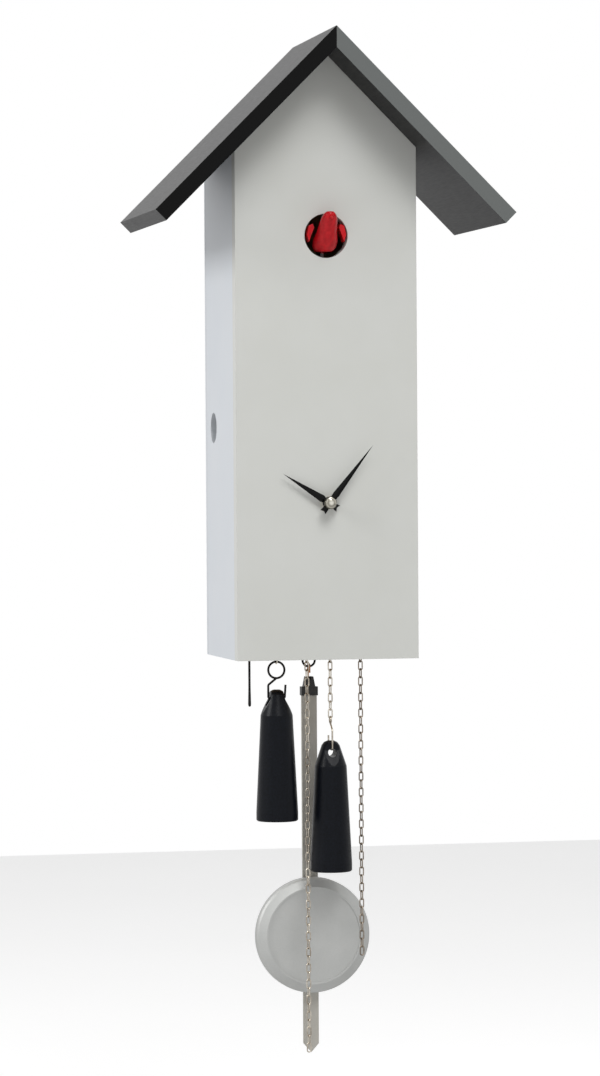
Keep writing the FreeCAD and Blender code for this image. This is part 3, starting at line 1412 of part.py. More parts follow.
OUTER_X = SPROCKET_X + CHAIN_R
INNER_X = SPROCKET_X - CHAIN_R
save("left_weight_chain", *strand(-OUTER_X, LEFT_WEIGHT_LINKS))
save("left_free_chain", *strand(-INNER_X, LEFT_FREE_LINKS))
save("right_weight_chain", *strand(INNER_X, RIGHT_WEIGHT_LINKS))
save("right_free_chain", *strand(OUTER_X, RIGHT_FREE_LINKS))
save("chain_bends", *(chain_bend(TIME) + chain_bend(STRIKE)))
save("left_weight", weight(-OUTER_X, LEFT_WEIGHT_TOP, 0))
save("right_weight", weight(INNER_X, RIGHT_WEIGHT_TOP, 90))
save("left_hook", weight_hook(-OUTER_X, LEFT_WEIGHT_TOP, LEFT_RING_Z, LEFT_RING_R, LEFT_HOOK_WIRE, 0))
save("right_hook", weight_hook(INNER_X, RIGHT_WEIGHT_TOP, RIGHT_RING_Z, RIGHT_RING_R, RIGHT_HOOK_WIRE, 90))

HOUR_EYE_R = HOUR_PIPE_R + FIT
MINUTE_EYE_R = MINUTE_R + FIT
save("hour_hand", hand(HOUR_HAND_L, HOUR_HAND_TAIL, HOUR_HAND_W, HOUR_HAND_Y, HOUR_EYE_R, HOUR_HAND_ANGLE))
save("minute_hand", hand(
    MINUTE_HAND_L, MINUTE_HAND_TAIL, MINUTE_HAND_W, MINUTE_HAND_Y, MINUTE_EYE_R, MINUTE_HAND_ANGLE))
save("hand_nut", hand_nut())

save("pendulum_leader", pendulum_leader())
save("pendulum_hook", pendulum_hook())
save("pendulum_collar", pendulum_collar())
save("pendulum_rod", pendulum_rod())
save("pendulum_bob", pendulum_bob())
save("night_off_lever", night_off_lever())
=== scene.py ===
# A house-shaped cuckoo clock: a lacquered case under a black wooden roof, a brass movement with two
# chains and iron weights, a red cuckoo on a sliding block, and a silver pendulum.
# The pieces follow in the order in which the clock is put together. Lengths are in metres.
import bpy
import bmesh
import json
import math
from mathutils import Matrix, Vector


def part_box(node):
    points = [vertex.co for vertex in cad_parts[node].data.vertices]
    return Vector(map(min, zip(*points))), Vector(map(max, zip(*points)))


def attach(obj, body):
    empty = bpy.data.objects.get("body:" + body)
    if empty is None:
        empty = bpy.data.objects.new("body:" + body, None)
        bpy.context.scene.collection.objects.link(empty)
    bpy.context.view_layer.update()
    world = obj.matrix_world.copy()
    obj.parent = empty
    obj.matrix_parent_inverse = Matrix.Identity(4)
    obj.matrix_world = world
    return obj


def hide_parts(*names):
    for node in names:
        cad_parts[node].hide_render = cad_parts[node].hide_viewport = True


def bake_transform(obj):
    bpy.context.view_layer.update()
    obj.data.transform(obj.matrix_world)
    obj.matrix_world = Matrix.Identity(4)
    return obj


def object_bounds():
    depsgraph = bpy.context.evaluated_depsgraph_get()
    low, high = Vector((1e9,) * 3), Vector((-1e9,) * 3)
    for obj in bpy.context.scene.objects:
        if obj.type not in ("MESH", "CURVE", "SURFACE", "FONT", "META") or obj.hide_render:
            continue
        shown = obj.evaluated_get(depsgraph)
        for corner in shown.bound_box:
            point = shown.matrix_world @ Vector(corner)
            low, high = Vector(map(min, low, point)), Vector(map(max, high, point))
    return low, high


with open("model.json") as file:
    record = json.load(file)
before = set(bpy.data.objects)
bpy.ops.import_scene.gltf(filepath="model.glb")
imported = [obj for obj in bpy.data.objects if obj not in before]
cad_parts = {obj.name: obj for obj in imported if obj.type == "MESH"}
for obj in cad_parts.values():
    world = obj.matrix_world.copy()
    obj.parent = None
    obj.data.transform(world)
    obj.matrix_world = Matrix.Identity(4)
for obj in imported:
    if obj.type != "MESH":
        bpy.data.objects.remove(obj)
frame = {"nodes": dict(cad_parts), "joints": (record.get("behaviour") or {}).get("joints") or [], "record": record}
cad_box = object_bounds()
nodes = frame["nodes"]
MM = 0.001


# ---------------------------------------------------------------- side panels
# The two side boards of the case, 8 mm fibreboard glued behind the front board. They are sprayed
# with the same light grey lacquer as the front and flatted, which leaves a satin face with a faint
# orange peel. Their colour is tinted bluer than the front's: painted cool light on the sides.

def linear(colour):
    """An sRGB hex colour as linear RGBA."""
    parts = [int(colour[k:k + 2], 16) / 255 for k in (1, 3, 5)]
    return [c / 12.92 if c <= 0.04045 else ((c + 0.055) / 1.055) ** 2.4 for c in parts] + [1.0]


def finish(name):
    """A new material with a surface shader wired to its output: (material, its tree, the shader)."""
    made = bpy.data.materials.new(name)
    made.use_nodes = True
    return made, made.node_tree, made.node_tree.nodes["Principled BSDF"]


def add(tree, kind, feeds, bands=None, **settings):
    """Adds one node: its settings, its colour bands if it is a ramp, and what feeds each of its sockets."""
    made = tree.nodes.new(kind)
    for name, value in settings.items():
        setattr(made, name, value)
    for k, (place, colour) in enumerate(bands or []):
        stops = made.color_ramp.elements
        stop = stops[k] if k < len(stops) else stops.new(place)
        stop.position = place
        stop.color = colour
    for name, value in feeds.items():
        if isinstance(value, bpy.types.NodeSocket):
            tree.links.new(value, made.inputs[name])
        else:
            made.inputs[name].default_value = value
    return made


def coat(material, *names):
    """Gives CAD pieces a finish in every one of their material slots."""
    for name in names:
        slots = nodes[name].data.materials
        for k in range(len(slots)):
            slots[k] = material
        if not len(slots):
            slots.append(material)


def sprayed_lacquer(name, light, dark, rough):
    """Satin lacquer on board: slow drifts of tone, a fine peel and corners rubbed round."""
    made, tree, shader = finish(name)
    place = add(tree, "ShaderNodeTexCoord", {}).outputs["Object"]
    drift = add(tree, "ShaderNodeTexNoise", {"Vector": place, "Scale": 1 / (55 * MM), "Detail": 3.0})
    tone = add(tree, "ShaderNodeValToRGB", {"Fac": drift.outputs["Fac"]},
               bands=[(0.30, linear(dark)), (0.70, linear(light))])
    peel = add(tree, "ShaderNodeTexNoise", {"Vector": place, "Scale": 1 / (1.4 * MM), "Detail": 2.0})
    sheen = add(tree, "ShaderNodeMapRange", {"Value": drift.outputs["Fac"], "To Min": rough - 0.04,
                                             "To Max": rough + 0.04})
    round_edge = add(tree, "ShaderNodeBevel", {"Radius": 0.5 * MM}, samples=4)
    bump = add(tree, "ShaderNodeBump", {"Height": peel.outputs["Fac"],
                                        "Normal": round_edge.outputs["Normal"],
                                        "Strength": 0.35, "Distance": 0.03 * MM})
    tree.links.new(tone.outputs["Color"], shader.inputs["Base Color"])
    tree.links.new(sheen.outputs["Result"], shader.inputs["Roughness"])
    tree.links.new(bump.outputs["Normal"], shader.inputs["Normal"])
    shader.inputs["IOR"].default_value = 1.48
    return made


# Grey satin lacquer: even, softly shining. The trace of blue in it is painted cool light on the sides, not a
# different paint.
side_lacquer = sprayed_lacquer("grey_satin_lacquer_painted_cool_light", "#D2D6DB", "#CDD2D8", 0.42)
coat(side_lacquer, "left_side_panel", "right_side_panel")


# ---------------------------------------------------------------- bottom board, blocks, whistle boxes, shelf
# The unseen carpentry: planed spruce, glued, left bare. The bottom board has two chain slots and
# the pendulum slot sawn through it.

def planed_spruce(name, pale, ring, grain_axis):
    """Bare softwood with growth rings about 2.5 mm apart and fine fibres along one axis."""
    made, tree, shader = finish(name)
    place = add(tree, "ShaderNodeTexCoord", {}).outputs["Object"]
    along = [1 / (2.5 * MM)] * 3
    along[grain_axis] = 1 / (90 * MM)
    stretched = add(tree, "ShaderNodeMapping", {"Vector": place, "Scale": along}).outputs["Vector"]
    rings = add(tree, "ShaderNodeTexNoise", {"Vector": stretched, "Scale": 1.0, "Detail": 1.5,
                                             "Distortion": 0.4})
    fine = [1 / (0.35 * MM)] * 3
    fine[grain_axis] = 1 / (9 * MM)
    fibres_place = add(tree, "ShaderNodeMapping", {"Vector": place, "Scale": fine}).outputs["Vector"]
    fibres = add(tree, "ShaderNodeTexNoise", {"Vector": fibres_place, "Scale": 1.0, "Detail": 3.0})
    mixed = add(tree, "ShaderNodeMath", {0: rings.outputs["Fac"], 1: fibres.outputs["Fac"]},
                operation="ADD")
    halved = add(tree, "ShaderNodeMath", {0: mixed.outputs["Value"], 1: 0.5}, operation="MULTIPLY")
    tone = add(tree, "ShaderNodeValToRGB", {"Fac": halved.outputs["Value"]},
               bands=[(0.38, linear(pale)), (0.62, linear(ring))])
    bump = add(tree, "ShaderNodeBump", {"Height": fibres.outputs["Fac"], "Strength": 0.4,
                                        "Distance": 0.06 * MM})
    tree.links.new(tone.outputs["Color"], shader.inputs["Base Color"])
    tree.links.new(bump.outputs["Normal"], shader.inputs["Normal"])
    shader.inputs["Roughness"].default_value = 0.62
    return made


# Planed spruce: pale yellow with darker late-wood lines, dry and dull.
spruce_upright = planed_spruce("planed_spruce_upright", "#D9BC8C", "#BD9862", 2)
spruce_across = planed_spruce("planed_spruce_across", "#D6B888", "#B99460", 0)
coat(spruce_across, "bottom_board", "glue_blocks", "bird_shelf")
coat(spruce_upright, "bellows_tubes", "left_bellows_lid", "right_bellows_lid")


# ---------------------------------------------------------------- front board
# The house front, 10 mm fibreboard cut to a gable with the cuckoo's round hole. It has the same
# light grey lacquer as the sides, and the case is glued behind it. Its colour is warmer than the sides', whose
# bluer tint is painted cool light.

front_lacquer = sprayed_lacquer("grey_satin_lacquer_front", "#CFD0CC", "#CBCCC7", 0.40)
coat(front_lacquer, "front_panel")


# ---------------------------------------------------------------- roof
# Two solid ash planks, rabbeted together at the ridge and glued on the gable. They are stained
# black and rubbed with a thin satin lacquer, so the open grain still shows in raking light.

def stained_ash(name, stain, worn, front_face_painted_light):
    """Black stained wood, grained along the depth of the clock; the front face has a flat colour of its own, a
    painted reflection of the light on that face.
    """
    made, tree, shader = finish(name)
    coords = add(tree, "ShaderNodeTexCoord", {})
    place = coords.outputs["Object"]
    # Pores of ash are about 0.3 mm across; drawn 0.7 mm here, so that they show at this size.
    pore_place = add(tree, "ShaderNodeMapping",
                     {"Vector": place, "Scale": (1 / (0.7 * MM), 1 / (14 * MM), 1 / (0.7 * MM))})
    pores = add(tree, "ShaderNodeTexNoise", {"Vector": pore_place.outputs["Vector"], "Scale": 1.0,
                                             "Detail": 3.0})
    band_place = add(tree, "ShaderNodeMapping",
                     {"Vector": place, "Scale": (1 / (6 * MM), 1 / (120 * MM), 1 / (6 * MM))})
    growth = add(tree, "ShaderNodeTexNoise", {"Vector": band_place.outputs["Vector"], "Scale": 1.0,
                                              "Detail": 2.0})
    tone = add(tree, "ShaderNodeValToRGB", {"Fac": growth.outputs["Fac"]},
               bands=[(0.35, linear(stain)), (0.65, linear(worn))])
    # Faces turned to the front get a flat colour of their own: a painted reflection of the light on them.
    facing = add(tree, "ShaderNodeSeparateXYZ", {"Vector": coords.outputs["Normal"]})
    on_front = add(tree, "ShaderNodeMath", {0: facing.outputs["Y"], 1: -0.9}, operation="LESS_THAN")
    edge = add(tree, "ShaderNodeMix", {0: on_front.outputs["Value"], 6: tone.outputs["Color"],
                                       7: linear(front_face_painted_light)},
               data_type="RGBA")
    round_edge = add(tree, "ShaderNodeBevel", {"Radius": 0.4 * MM}, samples=4)
    bump = add(tree, "ShaderNodeBump", {"Height": pores.outputs["Fac"],
                                        "Normal": round_edge.outputs["Normal"],
                                        "Strength": 0.5, "Distance": 0.05 * MM})
    rough = add(tree, "ShaderNodeMapRange", {"Value": pores.outputs["Fac"], "To Min": 0.30, "To Max": 0.42})
    tree.links.new(edge.outputs[2], shader.inputs["Base Color"])
    tree.links.new(bump.outputs["Normal"], shader.inputs["Normal"])
    tree.links.new(rough.outputs["Result"], shader.inputs["Roughness"])
    shader.inputs["IOR"].default_value = 1.45
    shader.inputs["Specular IOR Level"].default_value = 0.12
    return made


# Black stained ash: dull black straight on, silvery at a low angle.
left_ash = stained_ash("black_stained_ash_left", "#060607", "#0C0C0D", "#050505")
# The right plank's front face is coloured dark grey: a painted reflection of light on that face, over the black
# stain.
right_ash = stained_ash("black_stained_ash_right", "#0A0A0B", "#131314", "#6A6D6C")
coat(left_ash, "roof_left_plank")
coat(right_ash, "roof_right_plank")


# ---------------------------------------------------------------- movement plates, posts and cock
# Two rolled brass plates held apart by turned brass pillars, on four feet behind the front board,
# with the bracket that carries the pendulum on the rear plate. Brushed, then lightly lacquered.

def rolled_brass(name, bright, dull, axis):
    """Sheet brass with fine brush lines about 0.2 mm apart across one axis and slight tarnish."""
    made, tree, shader = finish(name)
    place = add(tree, "ShaderNodeTexCoord", {}).outputs["Object"]
    lines = [1 / (0.2 * MM)] * 3
    lines[axis] = 1 / (15 * MM)
    brush_place = add(tree, "ShaderNodeMapping", {"Vector": place, "Scale": lines}).outputs["Vector"]
    brush = add(tree, "ShaderNodeTexNoise", {"Vector": brush_place, "Scale": 1.0, "Detail": 2.0})
    stain = add(tree, "ShaderNodeTexNoise", {"Vector": place, "Scale": 1 / (12 * MM), "Detail": 4.0})
    tone = add(tree, "ShaderNodeValToRGB", {"Fac": stain.outputs["Fac"]},
               bands=[(0.35, linear(dull)), (0.65, linear(bright))])
    rough = add(tree, "ShaderNodeMapRange", {"Value": brush.outputs["Fac"], "To Min": 0.20, "To Max": 0.38})
    bump = add(tree, "ShaderNodeBump", {"Height": brush.outputs["Fac"], "Strength": 0.3,
                                        "Distance": 0.01 * MM})
    tree.links.new(tone.outputs["Color"], shader.inputs["Base Color"])
    tree.links.new(rough.outputs["Result"], shader.inputs["Roughness"])
    tree.links.new(bump.outputs["Normal"], shader.inputs["Normal"])
    shader.inputs["Metallic"].default_value = 1.0
    return made


# Rolled brass: warm yellow, streaked lengthways by the brush.
plate_brass = rolled_brass("rolled_brass_plate", "#D6B062", "#C29A4C", 2)
post_brass = rolled_brass("turned_brass_post", "#D9B46A", "#C7A056", 1)
coat(plate_brass, "front_plate", "rear_plate", "pendulum_cock")
coat(post_brass, "movement_posts", "door_latch", "bird_carriage")


# ---------------------------------------------------------------- wheels, pinions and arbors
# Stamped brass wheels with milled teeth, pressed on turned steel arbors that run in the plates.
# Each wheel was faced on a lathe, which leaves fine rings around its own centre.

def faced_wheel(name, x, z, steel_radius):
    """Brass turned about (x, z), with a bright steel arbor inside steel_radius."""
    made, tree, shader = finish(name)
    place = add(tree, "ShaderNodeTexCoord", {}).outputs["Object"]
    offset = add(tree, "ShaderNodeVectorMath", {0: place, 1: (x, 0.0, z)}, operation="SUBTRACT")
    flat = add(tree, "ShaderNodeVectorMath", {0: offset.outputs["Vector"], 1: (1.0, 0.0, 1.0)},
               operation="MULTIPLY")
    radius = add(tree, "ShaderNodeVectorMath", {0: flat.outputs["Vector"]},
                 operation="LENGTH").outputs["Value"]
    # Lathe rings are about 0.05 mm apart; drawn 0.25 mm here, so that they show.
    ring = add(tree, "ShaderNodeMath", {0: radius, 1: 1 / (0.25 * MM)}, operation="MULTIPLY")
    rings = add(tree, "ShaderNodeTexNoise", {"W": ring.outputs["Value"], "Scale": 1.0, "Detail": 1.0},
                noise_dimensions="1D")
    metal = add(tree, "ShaderNodeMath", {0: radius, 1: steel_radius}, operation="LESS_THAN")
    tarnish = add(tree, "ShaderNodeTexNoise", {"Vector": place, "Scale": 1 / (7 * MM), "Detail": 3.0})
    brass = add(tree, "ShaderNodeValToRGB", {"Fac": tarnish.outputs["Fac"]},
                bands=[(0.35, linear("#C79F50")), (0.65, linear("#DAB66C"))])
    tone = add(tree, "ShaderNodeMix", {0: metal.outputs["Value"], 6: brass.outputs["Color"],
                                       7: linear("#A9AAAC")},
               data_type="RGBA")
    rough = add(tree, "ShaderNodeMapRange", {"Value": rings.outputs["Fac"], "To Min": 0.18, "To Max": 0.34})
    bump = add(tree, "ShaderNodeBump", {"Height": rings.outputs["Fac"], "Strength": 0.25,
                                        "Distance": 0.01 * MM})
    tree.links.new(tone.outputs[2], shader.inputs["Base Color"])
    tree.links.new(rough.outputs["Result"], shader.inputs["Roughness"])
    tree.links.new(bump.outputs["Normal"], shader.inputs["Normal"])
    shader.inputs["Metallic"].default_value = 1.0
    return made


ARBOR_RADIUS = 1.5 * MM
pivots = {joint["child"]: joint["pos_m"] for joint in frame["joints"] if "pos_m" in joint}
for body in ("motion", "time_great", "third", "escape", "strike_great", "strike_second", "fan",
             "time_chain_wheel", "strike_chain_wheel", "hour", "centre_wheel"):
    pivot = pivots[body]
    # Faced brass on ground steel: yellow rim and spokes around a grey arbor.
    turned_metal = faced_wheel("faced_brass_" + body, pivot[0], pivot[2], ARBOR_RADIUS)
    coat(turned_metal, *[n for n in frame["record"]["behaviour"]["bodies"][body] if n != "hour_hand"])


# ---------------------------------------------------------------- arbor of the hands, verge and screws
# Ground mild steel: the centre arbor, the cannon pinion, the verge with its crutch, the hammer and
# every screw. Bright, with a fine grind across it.

def ground_steel(name, bright, dull, rough_low, rough_high):
    made, tree, shader = finish(name)
    place = add(tree, "ShaderNodeTexCoord", {}).outputs["Object"]
    grind = add(tree, "ShaderNodeTexNoise", {"Vector": place, "Scale": 1 / (0.3 * MM), "Detail": 3.0})
    cloud = add(tree, "ShaderNodeTexNoise", {"Vector": place, "Scale": 1 / (5 * MM), "Detail": 3.0})
    tone = add(tree, "ShaderNodeValToRGB", {"Fac": cloud.outputs["Fac"]},
               bands=[(0.35, linear(dull)), (0.65, linear(bright))])
    rough = add(tree, "ShaderNodeMapRange", {"Value": grind.outputs["Fac"], "To Min": rough_low,
                                             "To Max": rough_high})
    bump = add(tree, "ShaderNodeBump", {"Height": grind.outputs["Fac"], "Strength": 0.2,
                                        "Distance": 0.01 * MM})
    tree.links.new(tone.outputs["Color"], shader.inputs["Base Color"])
    tree.links.new(rough.outputs["Result"], shader.inputs["Roughness"])
    tree.links.new(bump.outputs["Normal"], shader.inputs["Normal"])
    shader.inputs["Metallic"].default_value = 1.0
    return made


# Ground steel: cool grey, a little cloudy.
bright_steel = ground_steel("ground_steel", "#B4B5B8", "#9A9B9F", 0.22, 0.36)
coat(bright_steel, "centre_arbor", "cannon_pinion", "verge", "gong_hammer", "steel_screws")


# ---------------------------------------------------------------- gong
# A flat coil of hardened spring steel, tempered blue-black, gripped by a small cast iron block
# that stands on the back board.

# Tempered spring steel: nearly black, blue where the light runs along the wire.
tempered_steel = ground_steel("blue_tempered_spring_steel", "#3A4254", "#20242E", 0.25, 0.40)
coat(tempered_steel, "gong_coil")


def sand_cast(name, high, low, grain, depth, rough):
    """Painted sand casting: a coarse pitted skin under one coat of enamel."""
    made, tree, shader = finish(name)
    place = add(tree, "ShaderNodeTexCoord", {}).outputs["Object"]
    sand = add(tree, "ShaderNodeTexNoise", {"Vector": place, "Scale": 1 / grain, "Detail": 4.0,
                                            "Roughness": 0.65})
    lumps = add(tree, "ShaderNodeTexNoise", {"Vector": place, "Scale": 1 / (9 * MM), "Detail": 2.0})
    both = add(tree, "ShaderNodeMath", {0: lumps.outputs["Fac"], 1: 3.0, 2: sand.outputs["Fac"]},
               operation="MULTIPLY_ADD")
    tone = add(tree, "ShaderNodeValToRGB", {"Fac": sand.outputs["Fac"]},
               bands=[(0.35, linear(low)), (0.65, linear(high))])
    rough_range = add(tree, "ShaderNodeMapRange",
                      {"Value": sand.outputs["Fac"], "To Min": rough - 0.08, "To Max": rough + 0.08})
    round_edge = add(tree, "ShaderNodeBevel", {"Radius": 0.6 * MM}, samples=4)
    bump = add(tree, "ShaderNodeBump", {"Height": both.outputs["Value"],
                                        "Normal": round_edge.outputs["Normal"],
                                        "Strength": 0.6, "Distance": depth})
    tree.links.new(tone.outputs["Color"], shader.inputs["Base Color"])
    tree.links.new(rough_range.outputs["Result"], shader.inputs["Roughness"])
    tree.links.new(bump.outputs["Normal"], shader.inputs["Normal"])
    shader.inputs["IOR"].default_value = 1.5
    shader.inputs["Specular IOR Level"].default_value = 0.12
    return made


# Black enamel on sand-cast iron: deep blue-black, half glossy, pebbled.
black_iron = sand_cast("black_enamelled_cast_iron", "#0E1118", "#06080C", 1.1 * MM, 0.10 * MM, 0.34)
coat(black_iron, "gong_block", "left_weight", "right_weight")


# ---------------------------------------------------------------- bellows cloths
# A pleated cotton cloth glued round each whistle box and its lid; on the clock it opens and closes as
# the lid is lifted, but here it is a fixed shape. Four folds, the valleys tucked 2 mm in.

PLEATS = 4
PLEAT_DEPTH = 2.0 * MM
RINGS_PER_PLEAT = 6
CORNER_STEPS = 4
CORNER_RADIUS = 1.5 * MM


def rounded_rectangle(half_x, half_y, radius):
    """Points round a rectangle with rounded corners, anticlockwise."""
    points = []
    for corner, (sx, sy) in enumerate(((1, 1), (-1, 1), (-1, -1), (1, -1))):
        for step in range(CORNER_STEPS + 1):
            angle = math.pi / 2 * (corner + step / CORNER_STEPS)
            points.append((sx * (half_x - radius) + radius * math.cos(angle),
                           sy * (half_y - radius) + radius * math.sin(angle)))
    return points


def skin(name, rings, closed_ends=True):
    """A mesh through rings of the same number of points, smooth, with its two ends filled."""
    shape = bmesh.new()
    loops = [[shape.verts.new(point) for point in ring] for ring in rings]
    count = len(loops[0])
    for lower, upper in zip(loops, loops[1:]):
        for k in range(count):
            shape.faces.new((lower[k], lower[(k + 1) % count], upper[(k + 1) % count], upper[k]))
    if closed_ends:
        shape.faces.new(list(reversed(loops[0])))
        shape.faces.new(loops[-1])
    bmesh.ops.recalc_face_normals(shape, faces=shape.faces)
    mesh = bpy.data.meshes.new(name)
    shape.to_mesh(mesh)
    shape.free()
    mesh.polygons.foreach_set("use_smooth", [True] * len(mesh.polygons))
    made = bpy.data.objects.new(name, mesh)
    bpy.context.scene.collection.objects.link(made)
    return made


cotton, cotton_tree, cotton_shader = finish("unbleached_cotton")
# Plain-woven cotton has about 0.4 mm thread spacing: two crossed thread waves make the weave.
THREAD_SCALE = 1 / (0.4 * MM) / 6.283
cotton_place = add(cotton_tree, "ShaderNodeTexCoord", {}).outputs["Object"]
warp = add(cotton_tree, "ShaderNodeTexWave", {"Vector": cotton_place, "Scale": THREAD_SCALE},
           bands_direction="X")
weft = add(cotton_tree, "ShaderNodeTexWave", {"Vector": cotton_place, "Scale": THREAD_SCALE},
           bands_direction="Z")
weave = add(cotton_tree, "ShaderNodeMath", {0: warp.outputs["Fac"], 1: weft.outputs["Fac"]},
            operation="MULTIPLY")
cotton_tone = add(cotton_tree, "ShaderNodeValToRGB", {"Fac": weave.outputs["Value"]},
                  bands=[(0.0, linear("#A99C82")), (1.0, linear("#D8CDB4"))])
cotton_bump = add(cotton_tree, "ShaderNodeBump",
                  {"Height": weave.outputs["Value"], "Strength": 0.5, "Distance": 0.1 * MM})
cotton_tree.links.new(cotton_tone.outputs["Color"], cotton_shader.inputs["Base Color"])
cotton_tree.links.new(cotton_bump.outputs["Normal"], cotton_shader.inputs["Normal"])
cotton_shader.inputs["Roughness"].default_value = 0.9
cotton_shader.inputs["Sheen Weight"].default_value = 0.3

for side in ("left", "right"):
    low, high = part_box(side + "_bellows_cloth")
    middle = (low + high) / 2
    half = (high - low) / 2
    pleat_rings = []
    steps = PLEATS * RINGS_PER_PLEAT
    for step in range(steps + 1):
        tuck = PLEAT_DEPTH * abs(math.sin(math.pi * PLEATS * step / steps))
        z = low.z + (high.z - low.z) * step / steps
        pleat_rings.append([(middle.x + px, middle.y + py, z) for px, py in
                            rounded_rectangle(half.x - tuck, half.y - tuck, CORNER_RADIUS)])
    cloth = skin(side + "_pleated_cloth", pleat_rings)
    cloth.data.materials.append(cotton)
    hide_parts(side + "_bellows_cloth")
    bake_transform(cloth)


# ---------------------------------------------------------------- cuckoo
# A small bird carved from lime wood with two loose wings, dipped in glossy red paint. It stands on
# a steel leg whose eye is pinned between the ears of the sliding block.

# Red gloss over carved wood: deep and wet looking, with soft dents where the knife went.
red_gloss, red_tree, red_shader = finish("red_gloss_paint_on_lime_wood")
red_place = add(red_tree, "ShaderNodeTexCoord", {}).outputs["Object"]
knife = add(red_tree, "ShaderNodeTexNoise", {"Vector": red_place, "Scale": 1 / (3.5 * MM), "Detail": 1.0})
brush_marks = add(red_tree, "ShaderNodeTexNoise",
                  {"Vector": red_place, "Scale": 1 / (0.8 * MM), "Detail": 2.0})
red_tone = add(red_tree, "ShaderNodeValToRGB", {"Fac": knife.outputs["Fac"]},
               bands=[(0.3, linear("#B0101A")), (0.7, linear("#C81A22"))])
red_height = add(red_tree, "ShaderNodeMath", {0: brush_marks.outputs["Fac"], 1: 0.15,
                                              2: knife.outputs["Fac"]}, operation="MULTIPLY_ADD")
red_bump = add(red_tree, "ShaderNodeBump", {"Height": red_height.outputs["Value"], "Strength": 0.35,
                                            "Distance": 0.3 * MM})
# The paint stops under the body: the leg and its eye below are bare steel.
LEG_HEIGHT = 14.5 * MM
leg_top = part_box("bird_body")[0].z + LEG_HEIGHT
red_height_on = add(red_tree, "ShaderNodeSeparateXYZ", {"Vector": red_place})
on_leg = add(red_tree, "ShaderNodeMath", {0: red_height_on.outputs["Z"], 1: leg_top}, operation="LESS_THAN")
bird_tone = add(red_tree, "ShaderNodeMix", {0: on_leg.outputs["Value"], 6: red_tone.outputs["Color"],
                                            7: linear("#8C8C8A")},
                data_type="RGBA")
red_tree.links.new(bird_tone.outputs[2], red_shader.inputs["Base Color"])
red_tree.links.new(red_bump.outputs["Normal"], red_shader.inputs["Normal"])
red_shader.inputs["Roughness"].default_value = 0.22
red_shader.inputs["Specular IOR Level"].default_value = 0.20
coat(red_gloss, "bird_body", "left_wing", "right_wing")


# ---------------------------------------------------------------- back board and door
# The back of the case and its hinged door, 6 mm birch plywood. The faces are sanded and bare, and
# every edge shows the glued plies.

def birch_plywood(name, pale, dark, sprayed_beyond):
    """Rotary-cut birch face along Z, and plies about 1.2 mm thick wherever an edge shows."""
    made, tree, shader = finish(name)
    coords = add(tree, "ShaderNodeTexCoord", {})
    grain_place = add(tree, "ShaderNodeMapping", {"Vector": coords.outputs["Object"],
                                                  "Scale": (1 / (7 * MM), 1 / (3 * MM), 1 / (110 * MM))})
    grain = add(tree, "ShaderNodeTexNoise", {"Vector": grain_place.outputs["Vector"], "Scale": 1.0,
                                             "Detail": 4.0, "Distortion": 1.2})
    face = add(tree, "ShaderNodeValToRGB", {"Fac": grain.outputs["Fac"]},
               bands=[(0.35, linear(pale)), (0.62, linear(dark))])
    depth = add(tree, "ShaderNodeSeparateXYZ", {"Vector": coords.outputs["Object"]})
    ply = add(tree, "ShaderNodeMath", {0: depth.outputs["Y"], 1: 2 * math.pi / (2.4 * MM)},
              operation="MULTIPLY")
    stripe = add(tree, "ShaderNodeMath", {0: ply.outputs["Value"]}, operation="SINE")
    plies = add(tree, "ShaderNodeValToRGB", {"Fac": stripe.outputs["Value"]},
                bands=[(0.0, linear("#8E6E48")), (0.25, linear("#D2B283"))])
    facing = add(tree, "ShaderNodeSeparateXYZ", {"Vector": coords.outputs["Normal"]})
    straight = add(tree, "ShaderNodeMath", {0: facing.outputs["Y"]}, operation="ABSOLUTE")
    on_edge = add(tree, "ShaderNodeMath", {0: straight.outputs["Value"], 1: 0.5}, operation="LESS_THAN")
    bare = add(tree, "ShaderNodeMix", {0: on_edge.outputs["Value"], 6: face.outputs["Color"],
                                       7: plies.outputs["Color"]},
               data_type="RGBA")
    # The two outer long edges of the board are sprayed with the sides of the case, in their bluer tint, which is
    # painted cool light.
    from_middle = add(tree, "ShaderNodeMath", {0: depth.outputs["X"]}, operation="ABSOLUTE")
    at_side = add(tree, "ShaderNodeMath", {0: from_middle.outputs["Value"], 1: sprayed_beyond},
                  operation="GREATER_THAN")
    tone = add(tree, "ShaderNodeMix", {0: at_side.outputs["Value"], 6: bare.outputs[2],
                                       7: linear("#CFD3D8")},
               data_type="RGBA")
    fibre = add(tree, "ShaderNodeTexNoise", {"Vector": grain_place.outputs["Vector"], "Scale": 9.0,
                                             "Detail": 2.0})
    bump = add(tree, "ShaderNodeBump", {"Height": fibre.outputs["Fac"], "Strength": 0.3,
                                        "Distance": 0.05 * MM})
    tree.links.new(tone.outputs[2], shader.inputs["Base Color"])
    tree.links.new(bump.outputs["Normal"], shader.inputs["Normal"])
    shader.inputs["Roughness"].default_value = 0.58
    return made


# Sanded birch: creamy, with a wavy figure and brown glue lines on the edges.
board_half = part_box("back_board")[1].x
coat(birch_plywood("sanded_birch_plywood", "#DCC59C", "#C9AC7D", board_half - 0.3 * MM), "back_board",
     "rear_door")


# ---------------------------------------------------------------- hands
# Two slim spear hands of pressed brass, dipped in black gloss enamel. Each has a ridge down its
# middle, a round boss and a forked tail, and sits on its pipe or arbor.

HAND_THICKNESS = 0.9 * MM
HAND_FLANK = 0.35 * MM
BOSS_RADIUS = 4.2 * MM
BOSS_STEPS = 28
TIP_SLOPE = 1.5 * MM
TAIL_SLOPE = 1.6 * MM
FORK_DEPTH = 1.0 * MM
HANDS_AT = Vector(pivots["minute"])

